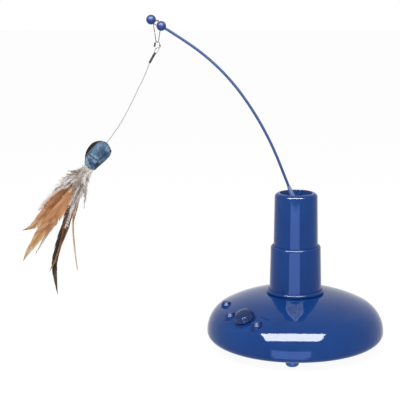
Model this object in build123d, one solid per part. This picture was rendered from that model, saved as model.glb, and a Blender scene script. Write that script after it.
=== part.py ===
from build123d import *
import math
import os

# Electronic cat toy: a domed base on four feet, a stepped tower that holds the motor and its
# gears, and a springy wand that the motor turns. A wire snap at the wand's tip carries a line,
# a stuffed fabric toy and its feathers. Millimetres, Z up. The origin is on the tower's axis,
# on the surface that the feet stand on.

# Base shell
BASE_RADIUS = 106.2
SHELL_WALL = 2.5
RIM_ROUNDING = 8.8
RIM_STRAIGHT = 0.4
SHOULDER_RADIUS = 34.0
SHOULDER_TURN = 62.6
CROWN_RADIUS = 145.0
TOWER_SEAT_RADIUS = 34.5
SEAT_OPENING_RADIUS = 17.0
SCREW_BOSS_RADIUS = 4.5
SCREW_BOSS_PLACE = 64.0
SCREW_BOSS_ANGLES = (36.0, 146.0, 262.0, 326.0)

# Screws
SCREW_RADIUS = 1.45
SCREW_HEAD_RADIUS = 2.8
SCREW_HEAD_HEIGHT = 1.3
SCREW_LENGTH = 10.0
SCREW_PILOT_DEPTH = 12.0
SMALL_SCREW_RADIUS = 0.95
SMALL_SCREW_HEAD_RADIUS = 1.9
SMALL_SCREW_HEAD_HEIGHT = 0.6
SMALL_SCREW_LENGTH = 5.0
SMALL_PILOT_DEPTH = 6.5
DRIVE_SLOT = 0.7

# Feet
FOOT_RADIUS = 7.75
FOOT_HEIGHT = 10.0
FOOT_ROUNDING = 3.5
FOOT_PLACE = 80.0
FOOT_FIRST_ANGLE = 268.0
FOOT_COUNT = 4
FOOT_PLUG_RADIUS = 3.0
FOOT_PLUG_LENGTH = 5.0

# Bottom plate, battery box and door
PLATE_THICKNESS = 2.5
CELL_RADIUS = 13.1
CELL_LENGTH = 48.5
CELL_NUB_RADIUS = 3.2
CELL_NUB_LENGTH = 1.5
CELL_COUNT = 3
CELL_PITCH = 27.2
BOX_WALL = 1.6
BOX_END_ROOM = 2.8
DOOR_THICKNESS = 2.0
DOOR_TONGUE = 3.0
DOOR_TONGUE_THICKNESS = 0.9
DOOR_TRAVEL = 18.0
GRIP_COUNT = 4
GRIP_LENGTH = 22.0
GRIP_WIDTH = 1.4
GRIP_DEPTH = 0.7
GRIP_PITCH = 3.0
GRIP_INSET = 8.0
CONTACT_THICKNESS = 0.5
CONTACT_WIDTH = 9.0
CONTACT_HEIGHT = 16.0
CONTACT_TIP_RADIUS = 1.5

# Tower
SLEEVE_FOOT_RADIUS = 31.3
SLEEVE_TOP_RADIUS = 29.9
SLEEVE_HEIGHT = 57.8
SLEEVE_WALL = 2.4
SLEEVE_LIP_DEPTH = 2.6
FOOT_BEAD_RADIUS = 34.6
FOOT_BEAD_SECTION = 2.4
HEAD_FOOT_RADIUS = 26.9
HEAD_TOP_RADIUS = 25.5
HEAD_CORNER = 5.0
HEAD_WALL = 2.2
TOWER_HEIGHT = 121.3
MOUTH_RADIUS = 19.4
MOUTH_ROUNDING = 0.8
CUP_FLOOR_RADIUS = 15.2
CUP_DEPTH = 16.0
CUP_FLOOR_THICKNESS = 2.5
TOWER_BOSS_RADIUS = 3.5
TOWER_BOSS_PLACE = 23.4
TOWER_BOSS_ANGLES = (30.0, 150.0, 270.0)
TOWER_RIB_WIDTH = 2.0
HEAD_BOSS_RADIUS = 3.0
HEAD_BOSS_PLACE = 21.6
HEAD_BOSS_LENGTH = 14.0
HEAD_BOSS_ANGLES = (90.0, 210.0, 330.0)

# Motor and gears
MOTOR_RADIUS = 12.2
MOTOR_CAN_LENGTH = 26.0
MOTOR_CAP_RADIUS = 11.0
MOTOR_CAP_LENGTH = 4.0
MOTOR_NOSE_RADIUS = 3.0
MOTOR_NOSE_LENGTH = 1.2
MOTOR_SCREW_PLACE = 8.0
MOTOR_TAG_PLACE = 6.0
MOTOR_TAG_LENGTH = 4.5
MOTOR_TAG_WIDTH = 2.4
MOTOR_TAG_THICKNESS = 0.5
MOTOR_SHAFT_RADIUS = 1.0
MOTOR_SHAFT_DEPTH = 8.0
GEAR_MODULE = 0.6
LARGE_TEETH = 30
SMALL_TEETH = 12
GEAR_PRESSURE_ANGLE = 20.0
GEAR_BACKLASH = 0.12
GEAR_FACE = 4.2
GEAR_SIDE_GAP = 0.5
GEARBOX_LIFT = 20.0
GEARBOX_PLATE = 2.0
GEARBOX_ROOM = 12.5
GEARBOX_PLATE_RADIUS = 26.6
WIRE_NOTCH_RADIUS = 3.0
POST_RADIUS = 2.3
POST_PLACE = 23.4
POST_ANGLES = (72.0, 180.0, 288.0)
AXLE_COLLAR_RADIUS = 2.5
IDLER_AXLE_RADIUS = 1.0
OUTPUT_SHAFT_RADIUS = 2.0
OUTPUT_COLLAR_RADIUS = 3.5
SHAFT_GUIDE_RADIUS = 4.5
SHAFT_GUIDE_LENGTH = 3.5
BUSH_RADIUS = 4.0
BUSH_LENGTH = 8.0

# Wand
WAND_AZIMUTH = 170.0
WAND_RADIUS = 1.6
WAND_LEAN = 22.16
WAND_STRAIGHT = 44.7
WAND_LOWER_BEND = 90.0
WAND_LOWER_TURN = 14.65
WAND_UPPER_BEND = 85.0
WAND_UPPER_TURN = 19.9
WAND_TIP_BEND = 37.0
WAND_TIP_TURN = 3.0
WAND_END_LENGTH = 6.6
WAND_ROOT_LIFT = 1.0
WAND_SOCKET = 2.5
FERRULE_BOTTOM_RADIUS = 3.2
FERRULE_TOP_RADIUS = 2.1
FERRULE_START = 6.5
FERRULE_LENGTH = 17.5
HUB_RADIUS = 14.2
HUB_THICKNESS = 3.0
HUB_CHAMFER = 0.8
HUB_CONE_BOTTOM_RADIUS = 8.5
HUB_CONE_TOP_RADIUS = 5.5
HUB_CONE_HEIGHT = 2.5
HUB_BOSS_RADIUS = 5.0
HUB_BOSS_START = 4.5
HUB_BOSS_LENGTH = 6.0
BALL_RADIUS = 5.8
BALL_SPACING = 14.4
LINK_HALF_WIDTH = 2.2
LINK_HALF_LENGTH = 4.4
LINK_CORNER = 1.98
WIRE_RADIUS = 0.45
WIRE_BEND = 0.9
SNAP_EYE_REACH = 1.2

# Controls
KNOB_INSET = 19.71
KNOB_ANGLE = 228.0
KNOB_RADIUS = 12.1
KNOB_TOP_RADIUS = 9.9
KNOB_FOOT_RADIUS = 10.8
KNOB_HEIGHT = 9.3
KNOB_SIDE_HEIGHT = 7.1
KNOB_UNDERCUT = 1.6
KNOB_FLARE = 0.6
KNOB_RIBS = 24
KNOB_FLUTE_RADIUS = 0.9
KNOB_FLUTE_DEPTH = 0.55
KNOB_CAVITY_RADIUS = 6.6
KNOB_CAVITY_DEPTH = 4.2
KNOB_ROOF = 1.8
KNOB_SEAT_RADIUS = 13.6
KNOB_SEAT_RISE = 0.6
KNOB_SEAT_RIM = 0.7
CONTROL_RADIUS = 8.5
CONTROL_DEPTH = 9.0
CONTROL_BUSH_RADIUS = 3.4
CONTROL_BUSH_RISE = 3.4
CONTROL_SHAFT_RADIUS = 2.0
CONTROL_SHAFT_SINK = 6.0
NUT_RADIUS = 5.6
NUT_THICKNESS = 1.6
BUTTON_INSETS = {"left": 16.34, "right": 14.42, "side": 22.6}
LEFT_BUTTON_STEP = 15.66
RIGHT_BUTTON_STEP = 13.75
SIDE_BUTTON_STEP = 22.94
BUTTON_RADIUS = 5.9
BUTTON_TOP_RADIUS = 3.9
BUTTON_RISE = 4.4
BUTTON_TAPER = 3.6
BUTTON_ROUNDING = 1.2
BUTTON_TRAVEL = 1.0
BUTTON_FLANGE = 0.8
BUTTON_FLANGE_THICKNESS = 1.0
BUTTON_STEM_RADIUS = 2.0
COLLAR_DEPTH = 11.0
COLLAR_WALL = 1.6
BOARD_INSET = 24.2
BOARD_DROP = 17.5
BOARD_THICKNESS = 1.6
BOARD_LENGTH = 60.0
BOARD_WIDTH = 24.0
BOARD_POST_RADIUS = 3.0
BOARD_POST_PLACE = 14.5
BOARD_POST_INSET = 8.0
BOARD_PARTS = ((0.0, 0.0, 9.0, 6.0, 1.8), (15.0, -6.0, 4.0, 4.0, 1.2), (-22.0, -4.0, 5.0, 3.0, 1.4))
SIDE_BOARD_RADIUS = 11.6
SIDE_POST_RADIUS = 1.6
SWITCH_SIDE = 6.0
SWITCH_HEIGHT = 2.4
SWITCH_KEY_RADIUS = 1.7
SWITCH_KEY_HEIGHT = 0.5
INDEX_BAR_INSET = 26.75
INDEX_BAR_ANGLE = 244.7
INDEX_BAR_TURN = -15.2
INDEX_BAR_LENGTH = 11.0
INDEX_BAR_WIDTH = 2.2
INDEX_BAR_RISE = 0.7

# Snap, ring, line, toy and feathers. Places are given out from the wand's tip and down from it,
# and those of the toy and feathers out from the toy's top and down from it.
RING_TOP = (5.1, 17.8)
RING_BOTTOM = (5.2, 26.2)
RING_TOP_HALF = 2.3
RING_FRONT = 4.0
RING_BACK = 3.6
RING_CORNER = 1.9
LONG_COLLAR_RADIUS = 1.1
LONG_COLLAR_LENGTH = 4.6
SHORT_COLLAR_RADIUS = 0.95
SHORT_COLLAR_LENGTH = 2.0
CRIMP_RADIUS = 1.45
CRIMP_LENGTH = 14.0
CRIMP_RIBS = 9
CRIMP_RIB_DEPTH = 0.2
CRIMP_RIB_SHARE = 0.35
CRIMP_AIM = (8.0, 31.4)
LINE_RADIUS = 0.5
LOOP_RADIUS = 0.35
LOOP_BEND = 0.7
LINE_POINTS = ((15.2, 43.4), (20.8, 58.0), (30.0, 74.5), (41.0, 96.0), (56.0, 122.0), (71.4, 140.8))
TOY_TOP = (71.0, 141.0)
TOY_LENGTH = 39.0
TOY_LEAN = 30.0
TOY_SPLIT = 4.5
TOY_BACK_GROWTH = 0.3
TOY_BACK_SHIFT = 1.3
SECTION_FULLNESS = 0.72
FEATHER_THICKNESS = 0.8
FEATHER_LAYER = 1.1
QUILL_HALF_WIDTH = 1.0

# Clearances
RUNNING = 0.05
SLIDING = 0.3
LOOSE = 0.4
SEAT_GAP = 0.2
PAST = 1.0

UP = (Align.CENTER, Align.CENTER, Align.MIN)

# Heights that follow from the sizes above
RIM_Z = FOOT_HEIGHT
SHOULDER_Z = RIM_Z + RIM_ROUNDING + RIM_STRAIGHT
SHOULDER_CENTRE = BASE_RADIUS - SHOULDER_RADIUS
TURN = math.radians(SHOULDER_TURN)
SHOULDER_END_R = SHOULDER_CENTRE + SHOULDER_RADIUS * math.cos(TURN)
SHOULDER_END_Z = SHOULDER_Z + SHOULDER_RADIUS * math.sin(TURN)
CROWN_CENTRE_R = SHOULDER_END_R - CROWN_RADIUS * math.cos(TURN)
CROWN_CENTRE_Z = SHOULDER_END_Z - CROWN_RADIUS * math.sin(TURN)


def surface_height(radius):
    """Height of the dome's outer surface at a radius."""
    if radius > SHOULDER_END_R:
        return SHOULDER_Z + math.sqrt(SHOULDER_RADIUS**2 - (radius - SHOULDER_CENTRE) ** 2)
    return CROWN_CENTRE_Z + math.sqrt(CROWN_RADIUS**2 - (radius - CROWN_CENTRE_R) ** 2)


SEAT_Z = surface_height(TOWER_SEAT_RADIUS)
TOWER_TOP_Z = SEAT_Z + TOWER_HEIGHT
SLEEVE_TOP_Z = SEAT_Z + SLEEVE_HEIGHT
GEARBOX_Z = SEAT_Z + GEARBOX_LIFT
GEARBOX_FLOOR_Z = GEARBOX_Z + GEARBOX_PLATE
UPPER_PLATE_Z = GEARBOX_FLOOR_Z + GEARBOX_ROOM
HEAD_Z = UPPER_PLATE_Z + GEARBOX_PLATE
CUP_FLOOR_Z = TOWER_TOP_Z - CUP_DEPTH
PLATE_Z = RIM_Z + SEAT_GAP
PLATE_TOP_Z = PLATE_Z + PLATE_THICKNESS
AXLE_DISTANCE = GEAR_MODULE * (LARGE_TEETH + SMALL_TEETH) / 2
PINION_Z = GEARBOX_FLOOR_Z + MOTOR_NOSE_LENGTH / 2
LARGE_Z = PINION_Z + SEAT_GAP
OUTPUT_Z = LARGE_Z + GEAR_FACE + GEAR_SIDE_GAP + SLIDING
IDLER_TOP_Z = OUTPUT_Z + GEAR_FACE + GEAR_SIDE_GAP
WAND_PLANE = Plane(
    origin=(0, 0, 0),
    x_dir=(math.cos(math.radians(WAND_AZIMUTH)), math.sin(math.radians(WAND_AZIMUTH)), 0),
    z_dir=(math.sin(math.radians(WAND_AZIMUTH)), -math.cos(math.radians(WAND_AZIMUTH)), 0),
)
LEAN = math.radians(WAND_LEAN)
HUB_Z = CUP_FLOOR_Z + SEAT_GAP
BUTTON_ANGLES = {
    "left": KNOB_ANGLE - LEFT_BUTTON_STEP,
    "right": KNOB_ANGLE + RIGHT_BUTTON_STEP,
    "side": KNOB_ANGLE - LEFT_BUTTON_STEP - SIDE_BUTTON_STEP,
}
BOARD_ANGLE = (BUTTON_ANGLES["left"] + BUTTON_ANGLES["right"]) / 2

nodes = {}


def rod(radius, low, high, x=0.0, y=0.0):
    """Upright cylinder between two heights."""
    return Pos(x, y, low) * Cylinder(radius, high - low, align=UP)


def ring(outer, inner, low, high, x=0.0, y=0.0):
    """Upright tube between two heights."""
    return rod(outer, low, high, x, y) - rod(inner, low - PAST, high + PAST, x, y)


def hole(radius, low, high, x=0.0, y=0.0):
    """Upright cylinder that runs past two heights, for cutting a hole between them."""
    return rod(radius, low - PAST, high + PAST, x, y)


def cone(low_radius, high_radius, low, high):
    """Upright cone between two heights."""
    return Pos(0, 0, low) * Cone(low_radius, high_radius, high - low, align=UP)


def block(x_size, y_size, low, high, x=0.0, y=0.0):
    """Upright box between two heights."""
    return Pos(x, y, low) * Box(x_size, y_size, high - low, align=UP)


def place(radius, degrees):
    """X and Y at a radius and an angle about the tower's axis."""
    return radius * math.cos(math.radians(degrees)), radius * math.sin(math.radians(degrees))


def turned(*edges):
    """Solid of revolution about the upright axis from edges drawn as radius and height."""
    return revolve(make_face([Plane.XZ * edge for edge in edges]), Axis.Z)


def on_circle(centre, radius, degrees):
    """A point of a circle, drawn as radius and height."""
    angle = math.radians(degrees)
    return centre[0] + radius * math.cos(angle), centre[1] + radius * math.sin(angle)


def wand_point(along, height, off=0.0):
    """A point given in the wand's upright plane, and its distance behind that plane."""
    return WAND_PLANE.from_local_coords((along, height, off))


def wire_tube(points, radius, bend, close=False):
    """Round wire along straight runs that tangent arcs join."""
    path = FilletPolyline(*points, radius=bend, close=close)
    start = Plane(origin=path @ 0, z_dir=path % 0)
    return sweep(start * Circle(radius), path=path)


def screw(radius, head_radius, head, length):
    """Pan-head screw that points up, with the outer face of its head at the origin plane."""
    body = Cylinder(head_radius, head, align=UP)
    for x_size, y_size in ((head_radius, DRIVE_SLOT), (DRIVE_SLOT, head_radius)):
        body -= Box(x_size, y_size, head)
    return body + Pos(0, 0, head) * Cylinder(radius, length, align=UP)


def large_screw():
    return screw(SCREW_RADIUS, SCREW_HEAD_RADIUS, SCREW_HEAD_HEIGHT, SCREW_LENGTH)


def small_screw():
    return screw(
        SMALL_SCREW_RADIUS, SMALL_SCREW_HEAD_RADIUS, SMALL_SCREW_HEAD_HEIGHT, SMALL_SCREW_LENGTH
    )


# Base shell


def dome_half(sunk):
    """Half section of the dome's outer surface, or of the surface sunk below it."""
    centre = (SHOULDER_CENTRE, SHOULDER_Z)
    crown = (CROWN_CENTRE_R, CROWN_CENTRE_Z)
    rim = (BASE_RADIUS - RIM_ROUNDING, RIM_Z + RIM_ROUNDING)
    seat_z = SEAT_Z - sunk
    top_r = CROWN_CENTRE_R + math.sqrt((CROWN_RADIUS - sunk) ** 2 - (seat_z - CROWN_CENTRE_Z) ** 2)
    top_turn = math.degrees(math.atan2(seat_z - CROWN_CENTRE_Z, top_r - CROWN_CENTRE_R))
    foot = on_circle(rim, RIM_ROUNDING - sunk, -90)
    side = on_circle(rim, RIM_ROUNDING - sunk, 0)
    shoulder = on_circle(centre, SHOULDER_RADIUS - sunk, SHOULDER_TURN)
    crown_middle = on_circle(crown, CROWN_RADIUS - sunk, (SHOULDER_TURN + top_turn) / 2)
    return [
        Line((0, foot[1]), foot),
        ThreePointArc(foot, on_circle(rim, RIM_ROUNDING - sunk, -45), side),
        Line(side, (side[0], SHOULDER_Z)),
        ThreePointArc(
            (side[0], SHOULDER_Z),
            on_circle(centre, SHOULDER_RADIUS - sunk, SHOULDER_TURN / 2),
            shoulder,
        ),
        ThreePointArc(shoulder, crown_middle, (top_r, seat_z)),
        Line((top_r, seat_z), (0, seat_z)),
        Line((0, seat_z), (0, foot[1])),
    ]


def surface_plane(radius, degrees):
    """Plane on the dome's surface: Z along its normal, X round the dome, Y up the slope."""
    if radius > SHOULDER_END_R:
        lean = math.asin((radius - SHOULDER_CENTRE) / SHOULDER_RADIUS)
    else:
        lean = math.asin((radius - CROWN_CENTRE_R) / CROWN_RADIUS)
    x, y = place(radius, degrees)
    out_x, out_y = place(1.0, degrees)
    normal = (math.sin(lean) * out_x, math.sin(lean) * out_y, math.cos(lean))
    return Plane(origin=(x, y, surface_height(radius)), x_dir=(-out_y, out_x, 0), z_dir=normal)


def upright_seat(radius, degrees):
    """Upright location on the dome's surface, with X round the dome."""
    x, y = place(radius, degrees)
    return Pos(x, y, surface_height(radius)) * Rot(0, 0, degrees + 90)


KNOB_SEAT = surface_plane(BASE_RADIUS - KNOB_INSET, KNOB_ANGLE).location
BUTTON_SEATS = {
    side: upright_seat(BASE_RADIUS - BUTTON_INSETS[side], BUTTON_ANGLES[side])
    for side in BUTTON_INSETS
}
HOLE_RADIUS = BUTTON_RADIUS + SLIDING
FLANGE_RADIUS = BUTTON_RADIUS + BUTTON_FLANGE
SWITCH_TOP = SWITCH_HEIGHT + SWITCH_KEY_HEIGHT


def board_top(side):
    """Height of the top of the board under a button."""
    if side == "side":
        return BUTTON_SEATS["side"].position.Z - BOARD_DROP
    lowest = min(BUTTON_SEATS["left"].position.Z, BUTTON_SEATS["right"].position.Z)
    return lowest - BOARD_DROP


CONTROL_BOARD_AT = Pos(*place(BASE_RADIUS - BOARD_INSET, BOARD_ANGLE), 0) * Rot(0, 0, BOARD_ANGLE + 90)
SIDE_BOARD_AT = Pos(BUTTON_SEATS["side"].position.X, BUTTON_SEATS["side"].position.Y, 0) * Rot(
    0, 0, BUTTON_ANGLES["side"] + 90
)


def board_spots():
    """Place and board of each post under the dome: location, post radius, height of its end."""
    spots = []
    for side in (-1, 1):
        at = CONTROL_BOARD_AT * Pos(side * BOARD_POST_PLACE, BOARD_POST_INSET, 0)
        spots.append((at, BOARD_POST_RADIUS, board_top("left")))
    for side in (-1, 1):
        at = SIDE_BOARD_AT * Pos(side * (FLANGE_RADIUS + LOOSE + SIDE_POST_RADIUS), 0, 0)
        spots.append((at, SIDE_POST_RADIUS, board_top("side")))
    return spots


def knob_pad():
    """Round pad under the knob: a thin raised rim round a flat floor."""
    pad = Pos(0, 0, -RIM_ROUNDING) * Cylinder(
        KNOB_SEAT_RADIUS, RIM_ROUNDING + KNOB_SEAT_RISE, align=UP
    )
    return pad - Cylinder(KNOB_SEAT_RADIUS - KNOB_SEAT_RIM, KNOB_SEAT_RISE + PAST, align=UP)


def index_bar():
    """Small raised bar on the dome that the knob's setting is read against."""
    at = surface_plane(BASE_RADIUS - INDEX_BAR_INSET, INDEX_BAR_ANGLE).location
    sunk = INDEX_BAR_LENGTH**2 / (8 * SHOULDER_RADIUS) + SEAT_GAP
    bar = Box(INDEX_BAR_LENGTH, INDEX_BAR_WIDTH, INDEX_BAR_RISE + sunk, align=UP)
    return at * Rot(0, 0, INDEX_BAR_TURN) * Pos(0, 0, -sunk) * bar


def base_dome():
    """Moulded dome with the tower's seat, screw bosses and the seats of the controls."""
    outer = turned(*dome_half(0.0))
    shell = outer - turned(*dome_half(SHELL_WALL))
    shell -= hole(BASE_RADIUS - RIM_ROUNDING, RIM_Z, RIM_Z + SHELL_WALL)
    for degrees in SCREW_BOSS_ANGLES:
        shell += rod(SCREW_BOSS_RADIUS, PLATE_TOP_Z, SEAT_Z, *place(SCREW_BOSS_PLACE, degrees)) & outer
    for at, radius, end in board_spots():
        shell += at * rod(radius, end, SEAT_Z) & outer
    for at, radius, end in board_spots()[:2]:
        shell -= at * hole(SMALL_SCREW_RADIUS + RUNNING, end, end + SMALL_PILOT_DEPTH)
    for seat in BUTTON_SEATS.values():
        collar = rod(HOLE_RADIUS + COLLAR_WALL, -COLLAR_DEPTH, RIM_ROUNDING)
        shell += seat * collar & outer
    shell += KNOB_SEAT * knob_pad()
    shell -= KNOB_SEAT * Pos(0, 0, -RIM_ROUNDING) * Cylinder(
        KNOB_SEAT_RADIUS - SHELL_WALL, RIM_ROUNDING - SHELL_WALL, align=UP
    )
    shell -= KNOB_SEAT * Cylinder(KNOB_SEAT_RADIUS - KNOB_SEAT_RIM, RIM_ROUNDING, align=UP)
    shell -= KNOB_SEAT * hole(CONTROL_BUSH_RADIUS + RUNNING, -SHELL_WALL, KNOB_SEAT_RISE)
    for seat in BUTTON_SEATS.values():
        shell -= seat * hole(HOLE_RADIUS, -COLLAR_DEPTH, RIM_ROUNDING)
    shell -= hole(SEAT_OPENING_RADIUS, SEAT_Z - RIM_ROUNDING, SEAT_Z)
    for degrees in SCREW_BOSS_ANGLES:
        x, y = place(SCREW_BOSS_PLACE, degrees)
        shell -= hole(SCREW_RADIUS + RUNNING, PLATE_TOP_Z, PLATE_TOP_Z + SCREW_PILOT_DEPTH, x, y)
    for degrees in TOWER_BOSS_ANGLES:
        x, y = place(TOWER_BOSS_PLACE, degrees)
        shell -= hole(SCREW_RADIUS + SLIDING, SEAT_Z - SHELL_WALL, SEAT_Z, x, y)
    return shell + index_bar()


# Bottom plate, feet, battery box and door

BOX_WIDTH = CELL_PITCH * (CELL_COUNT - 1) + 2 * CELL_RADIUS + 2 * SLIDING
BOX_LENGTH = CELL_LENGTH + CELL_NUB_LENGTH + 2 * BOX_END_ROOM
CELL_Z = PLATE_Z + DOOR_THICKNESS + SLIDING + SEAT_GAP + CELL_RADIUS
BOX_ROOF_Z = CELL_Z + CELL_RADIUS + SLIDING
CHANNEL_WIDTH = BOX_WIDTH + 2 * DOOR_TONGUE + 4 * SLIDING
LEDGE_WIDTH = (CHANNEL_WIDTH - BOX_WIDTH) / 2 - SLIDING
LEDGE_HEIGHT = DOOR_THICKNESS - DOOR_TONGUE_THICKNESS - SEAT_GAP


def foot_spots():
    """X and Y of each foot."""
    return [place(FOOT_PLACE, FOOT_FIRST_ANGLE + 360.0 / FOOT_COUNT * i) for i in range(FOOT_COUNT)]


def base_plate():
    """Bottom plate with the battery box, the door's channel and its ledges."""
    plate = rod(BASE_RADIUS - RIM_ROUNDING - LOOSE, PLATE_Z, PLATE_TOP_Z)
    channel_end = BOX_LENGTH / 2 + DOOR_TRAVEL + SLIDING
    channel_start = -BOX_LENGTH / 2 - SLIDING
    length = channel_end - channel_start
    middle = (channel_end + channel_start) / 2
    roof_z = PLATE_TOP_Z + DOOR_THICKNESS
    plate += block(CHANNEL_WIDTH + 2 * BOX_WALL, length + 2 * BOX_WALL, PLATE_Z, roof_z, 0, middle)
    plate -= block(
        CHANNEL_WIDTH, length, PLATE_Z - PAST, PLATE_Z + DOOR_THICKNESS + SLIDING, 0, middle
    )
    plate += block(
        BOX_WIDTH + 2 * BOX_WALL, BOX_LENGTH + 2 * BOX_WALL, PLATE_TOP_Z, BOX_ROOF_Z + BOX_WALL
    )
    plate -= block(BOX_WIDTH, BOX_LENGTH, PLATE_Z - PAST, BOX_ROOF_Z)
    for side in (-1, 1):
        x = side * (CHANNEL_WIDTH - LEDGE_WIDTH) / 2
        plate += block(LEDGE_WIDTH, BOX_LENGTH, PLATE_Z, PLATE_Z + LEDGE_HEIGHT, x, 0)
    for x, y in foot_spots():
        plate -= hole(FOOT_PLUG_RADIUS + RUNNING, PLATE_Z, PLATE_TOP_Z, x, y)
    for degrees in SCREW_BOSS_ANGLES:
        x, y = place(SCREW_BOSS_PLACE, degrees)
        plate -= hole(SCREW_RADIUS + SLIDING, PLATE_Z, PLATE_TOP_Z, x, y)
        plate -= rod(SCREW_HEAD_RADIUS + SLIDING, PLATE_Z - PAST, PLATE_Z + SCREW_HEAD_HEIGHT, x, y)
    return plate


def feet():
    """Four moulded feet, each plugged into the bottom plate."""
    made = []
    for x, y in foot_spots():
        pad = rod(FOOT_RADIUS, 0, PLATE_Z, x, y)
        pad = fillet(pad.edges().group_by(Axis.Z)[0], FOOT_ROUNDING)
        made.append(pad + rod(FOOT_PLUG_RADIUS, PLATE_Z - PAST, PLATE_Z + FOOT_PLUG_LENGTH, x, y))
    return Compound(children=made)


def case_screws():
    """Four screws that hold the bottom plate to the dome's bosses."""
    made = []
    for degrees in SCREW_BOSS_ANGLES:
        x, y = place(SCREW_BOSS_PLACE, degrees)
        made.append(Pos(x, y, PLATE_Z) * large_screw())
    return Compound(children=made)


def battery_door():
    """Flush sliding door with side tongues and thumb grooves."""
    width = BOX_WIDTH - SLIDING
    top = PLATE_Z + DOOR_THICKNESS
    door = block(width, BOX_LENGTH, PLATE_Z, top)
    door += block(width + 2 * DOOR_TONGUE, BOX_LENGTH, top - DOOR_TONGUE_THICKNESS, top)
    for i in range(GRIP_COUNT):
        y = -BOX_LENGTH / 2 + GRIP_INSET + GRIP_PITCH * i
        door -= block(GRIP_LENGTH, GRIP_WIDTH, PLATE_Z - PAST, PLATE_Z + GRIP_DEPTH, 0, y)
    return door


def cell_x(index):
    """X of a cell's axis."""
    return (index - (CELL_COUNT - 1) / 2) * CELL_PITCH


def battery_cell(index):
    """One round cell lying along Y, its nub alternately forward and back."""
    facing = 1 if index % 2 == 0 else -1
    body = Cylinder(CELL_RADIUS, CELL_LENGTH)
    nub = Pos(0, 0, CELL_LENGTH / 2) * Cylinder(CELL_NUB_RADIUS, CELL_NUB_LENGTH, align=UP)
    cell = Pos(0, 0, -CELL_NUB_LENGTH / 2) * (body + nub)
    return Pos(cell_x(index), 0, CELL_Z) * Rot(-90 * facing, 0, 0) * cell


def battery_contacts():
    """Leaf contacts at both ends of each cell."""
    made = []
    reach = BOX_LENGTH / 2 - (CELL_LENGTH + CELL_NUB_LENGTH) / 2
    for index in range(CELL_COUNT):
        for end in (-1, 1):
            back = block(
                CONTACT_WIDTH, CONTACT_THICKNESS, CELL_Z - CONTACT_HEIGHT / 2,
                CELL_Z + CONTACT_HEIGHT / 2, cell_x(index), end * (BOX_LENGTH - CONTACT_THICKNESS) / 2,
            )
            leaf = Cone(CONTACT_WIDTH / 2 - CONTACT_THICKNESS, CONTACT_TIP_RADIUS, reach, align=UP)
            at = Pos(cell_x(index), end * BOX_LENGTH / 2, CELL_Z) * Rot(90 * end, 0, 0)
            made.append(back + at * leaf)
    return Compound(children=made)


# Tower


def tower_sleeve():
    """Lower tower tube with its foot bead, rolled lip and inner screw bosses."""
    top = SLEEVE_TOP_Z
    lip = (SLEEVE_TOP_RADIUS - SLEEVE_LIP_DEPTH, top - SLEEVE_LIP_DEPTH)
    outer = turned(
        Line((0, SEAT_Z), (SLEEVE_FOOT_RADIUS, SEAT_Z)),
        Line((SLEEVE_FOOT_RADIUS, SEAT_Z), (SLEEVE_TOP_RADIUS, lip[1])),
        ThreePointArc((SLEEVE_TOP_RADIUS, lip[1]), on_circle(lip, SLEEVE_LIP_DEPTH, 45), (lip[0], top)),
        Line((lip[0], top), (0, top)),
        Line((0, top), (0, SEAT_Z)),
    )
    bead_centre = FOOT_BEAD_RADIUS - FOOT_BEAD_SECTION
    bead = Pos(0, 0, SEAT_Z + FOOT_BEAD_SECTION) * Torus(bead_centre, FOOT_BEAD_SECTION)
    bead += ring(bead_centre, SLEEVE_FOOT_RADIUS - SLEEVE_WALL, SEAT_Z, SEAT_Z + FOOT_BEAD_SECTION)
    sleeve = outer + bead
    sleeve -= cone(
        SLEEVE_FOOT_RADIUS - SLEEVE_WALL, SLEEVE_TOP_RADIUS - SLEEVE_WALL,
        SEAT_Z, lip[1] - SLIDING,
    )
    sleeve -= hole(HEAD_FOOT_RADIUS + SLIDING, SEAT_Z, top)
    for degrees in TOWER_BOSS_ANGLES:
        x, y = place(TOWER_BOSS_PLACE, degrees)
        rib = Pos(*place(TOWER_BOSS_PLACE + TOWER_BOSS_RADIUS, degrees), SEAT_Z) * Rot(0, 0, degrees)
        rib *= Box(SLEEVE_WALL * 2, TOWER_RIB_WIDTH, GEARBOX_LIFT, align=UP)
        sleeve += rod(TOWER_BOSS_RADIUS, SEAT_Z, GEARBOX_Z, x, y) + rib
        sleeve -= hole(SCREW_RADIUS + RUNNING, SEAT_Z, GEARBOX_Z, x, y)
    return sleeve


def head_radius(height):
    """Outer radius of the tower's head at a height."""
    share = (height - HEAD_Z) / (TOWER_TOP_Z - HEAD_CORNER - HEAD_Z)
    return HEAD_FOOT_RADIUS + (HEAD_TOP_RADIUS - HEAD_FOOT_RADIUS) * share


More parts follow.
